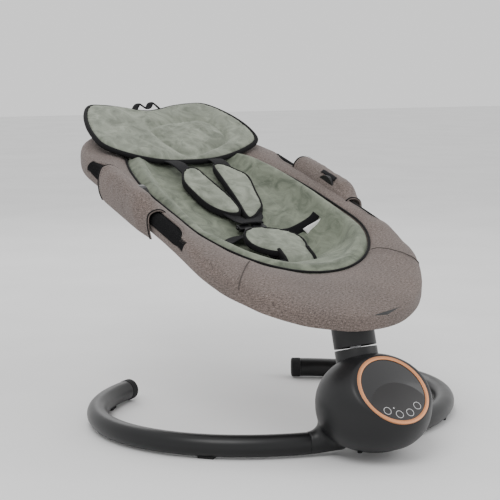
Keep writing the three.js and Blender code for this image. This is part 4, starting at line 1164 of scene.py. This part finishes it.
def make_pillow():
    half = np.array(PILLOW_HALF, float)
    outline = rounded(np.concatenate([half, (half * (-1, 1))[-2:0:-1]]), 200)
    spine = np.broadcast_to(PILLOW_MIDDLE, outline.shape)
    pillow = pad_body("head_pillow_soft", outline, spine, lambda x, y: pillow_height(x, y) + 2, 15, 12,
                      LIT_LINER)
    seam = rounded(PILLOW_SEAM, 260)

    edge_held = rim_held(outline, pillow_height, 9, 1)
    swollen(pillow, 4.5, 11, lambda places_at: edge_held(places_at) | (plan_gap(places_at, seam) < 3))
    points = coordinates(pillow)
    top = normals_of(pillow)[:, 2] > 0.1
    far = plan_gap(points, seam)
    groove = 5.5 * np.exp(-(far / 5.5) ** 2) + 3.5 * np.exp(-(far / 15) ** 2)
    inside = smoothstep(1.2, 0.7, np.hypot((points[:, 0] - 45) / 68, (points[:, 1] - 675) / 57))
    creases = 1.5 * folds(points[:, :2], 34, 51) * inside + 0.7 * waves(points[:, :2], 46, 52)
    points[:, 2] += np.where(top, creases - groove, 0)
    move_to(pillow, points)
    placed(pillow, "backrest", "liner_velour", "head_pillow")
    outward = outline - PILLOW_MIDDLE
    outer = outline + 2.0 * outward / np.linalg.norm(outward, axis=1)[:, None]
    line = np.column_stack([outer, pillow_height(*outline.T) + 1])
    binding = tube("pillow_binding", ribbon(line, 8.5, 10, 12, closed=True), BINDING, ends=False)
    placed(binding, "backrest", "liner_velour")
    notch = np.array([(-30, 779, 0), (-16, 786, 9), (0, 781, 3), (14, 788, 10), (30, 780, 0)], float)
    notch[:, 2] += pillow_height(notch[:, 0], notch[:, 1]) + 4
    strap = tube("pillow_top_strap", ribbon(rounded(notch, 40, False), 14, 3.5, 12, power=0.5), WEBBING)
    placed(strap, "backrest", "harness_web")


PADS = {
    "left": [(-50, 533), (-34, 545), (-18, 543), (-11, 520), (-2, 486), (5, 456), (4, 420),
             (-16, 414), (-38, 427), (-52, 447), (-59, 477), (-62, 507)],
    "right": [(23, 549), (43, 552), (61, 536), (76, 514), (67, 471), (57, 432), (42, 417), (25, 404), (10, 403),
              (15, 448), (19, 505)],
}
HARNESS_PAD = (10, 5)  # thickness, and how far in its edge is rounded


def pad_plane(x, y):
    return 337 + 0.55 * (y - 410) + 0 * x


def make_shoulder_pads():
    for name, corners in PADS.items():
        outline = rounded(corners, 120)
        spine = np.broadcast_to(outline.mean(0), outline.shape)
        made = pad_body(f"{name}_shoulder_pad_soft", outline, spine, pad_plane, *HARNESS_PAD, LIT_LINER, 16)
        swollen(made, 4.0, 5, rim_held(outline, pad_plane))
        placed(made, "hinge", "liner_velour", f"{name}_shoulder_pad")
        line = np.column_stack([outline, pad_plane(*outline.T) - 2.5])
        band = tube(f"{name}_shoulder_pad_binding", ribbon(line, 4.5, 12, 12, closed=True, power=0.6), BINDING,
                    ends=False)
        placed(band, "hinge", "liner_velour")


WAIST = {
    "left": [(-22, 351, 308), (-48, 350, 304), (-74, 335, 296), (-80, 305, 288), (-66, 275, 280), (-40, 254, 276),
             (-12, 243, 274)],
    "right": [(24, 350, 303), (50, 349, 303), (80, 350, 305), (104, 351, 309), (127, 352, 313)],
}
WAIST_UP = {"left": (0, 0, 1), "right": (0, 1, 0)}  # the right one stands on its edge


def strap_path(points, count=50):
    return rounded(np.array(points, float), count, closed=False)


def make_straps():
    routes = {
        "left": [(-6, 372, 327), (-10, 396, 330), (-18, 425, 342), (-24, 470, 367), (-34, 530, 399),
                 (-40, 570, 419), (-44, 612, 425)],
        "right": [(8, 372, 327), (16, 392, 330), (30, 412, 336), (38, 470, 367), (46, 530, 399), (50, 575, 420),
                  (52, 612, 425)],
    }
    for name, route in routes.items():
        strap = tube(f"{name}_shoulder_web", ribbon(strap_path(route), 30, 3, 14, power=0.45), WEBBING)
        placed(strap, "hinge", "harness_web", f"{name}_shoulder_strap")
        waist = strap_path(WAIST[name], 70)
        waist[:, 2] = np.maximum(waist[:, 2], pad_height(waist[:, 0], waist[:, 1]) + 6)
        web = tube(f"{name}_waist_web", ribbon(waist, 26, 3, 14, power=0.45, up=WAIST_UP[name]), WEBBING)
        placed(web, "seat", "harness_web", f"{name}_waist_strap")
    corners = np.array([(90, 345, 314), (131, 346, 331), (132, 345, 304), (108, 345, 296)], float)
    u = np.linspace(0, 1, 8)[:, None, None]
    v = np.linspace(0, 1, 8)[None, :, None]
    grid = (corners[0] * (1 - u) + corners[1] * u) * (1 - v) + (corners[3] * (1 - u) + corners[2] * u) * v
    grid[..., 1] += 2.0 * waves(grid, 30, 91)
    label = piece("care_label", grid.reshape(-1, 3), quads(8, 8, close_columns=False), LABEL)
    thickened(label, 0.8, 0)
    placed(label, "seat", "liner_velour")


def crotch_plane(x, y):
    return 303 + 0.5 * (y - 293) + 0 * x


def make_crotch_pad():
    turn = np.linspace(0, 2 * math.pi, 120, endpoint=False)
    oval = np.column_stack([54 * np.sign(np.cos(turn)) * np.abs(np.cos(turn)) ** 0.85,
                            34 * np.sign(np.sin(turn)) * np.abs(np.sin(turn)) ** 0.85])
    lean = math.radians(-15)
    outline = oval @ np.array([[math.cos(lean), math.sin(lean)], [-math.sin(lean), math.cos(lean)]]) + (2, 294)
    outline = even(np.concatenate([outline, outline[:1]]), 120)
    spine = np.broadcast_to((2.0, 294.0), outline.shape)
    pad = pad_body("crotch_pad_soft", outline, spine, crotch_plane, *HARNESS_PAD, LIT_LINER, 16)
    swollen(pad, 4.0, 5, rim_held(outline, crotch_plane))
    placed(pad, "seat", "liner_velour", "crotch_pad")
    line = np.column_stack([outline, crotch_plane(*outline.T) - 1.5])
    band = tube("crotch_pad_binding", ribbon(line, 5, 10, 12, closed=True, power=0.6), BINDING, ends=False)
    placed(band, "seat", "liner_velour")
    tongue_path = strap_path([(20, 268, 291), (20, 258, 285), (20, 248, 279), (20, 241, 270), (20, 240, 258)])
    rings = ribbon(tongue_path, 56, 9, 20, power=0.5, up=(0, -0.3, 1))
    tongue = tube("crotch_pad_tongue", rings, LIT_LINER)
    placed(tongue, "seat", "liner_velour")
    for name, x in (("left", -9), ("right", 49)):
        path = tongue_path + (x - 20, 0, 0.5)
        edging = tube(f"crotch_tongue_{name}_binding",
                      ribbon(path, 7, 11, 12, power=0.6, up=(0, -0.3, 1)), BINDING)
        placed(edging, "seat", "liner_velour")


# ---------- pieces that keep the CAD's shape ----------
KEPT = {
    "base_tray": SHELL, "left_front_foot": CAP, "right_front_foot": CAP, "left_rear_foot": CAP,
    "right_rear_foot": CAP, "tray_screw_1": CAP, "tray_screw_2": CAP, "tray_screw_3": CAP,
    "control_board": BOARD, "speaker": SHELL, "power_socket": SHELL, "lower_bearing": STEEL,
    "upper_bearing": STEEL, "drive_coil": WINDING, "swing_shaft": STEEL, "magnet_arm": STEEL,
    "seat_bracket": SHELL, "front_frame_tube": TUBE_COAT, "back_frame_tube": TUBE_COAT,
    "left_hinge_plate": SHELL, "right_hinge_plate": SHELL, "left_hinge_disc": SHELL, "right_hinge_disc": SHELL,
    "left_hinge_pin": STEEL, "right_hinge_pin": STEEL, "buckle_body": BUCKLE, "buckle_button": BUCKLE,
    "left_buckle_tongue": BUCKLE, "right_buckle_tongue": BUCKLE, "left_recline_button": BUCKLE,
    "right_recline_button": BUCKLE, "crotch_strap": WEBBING,
}


def dress_kept_nodes():
    for name, material in KEPT.items():
        made = bpy.data.objects[name]
        made.data.materials.clear()
        made.data.materials.append(material)


make_base()
make_panel()
make_cover()
make_slot_stitches()
make_liner()
make_knit()
make_flaps()
make_pillow()
make_shoulder_pads()
make_straps()
make_crotch_pad()
dress_kept_nodes()
add_studio()
add_camera()
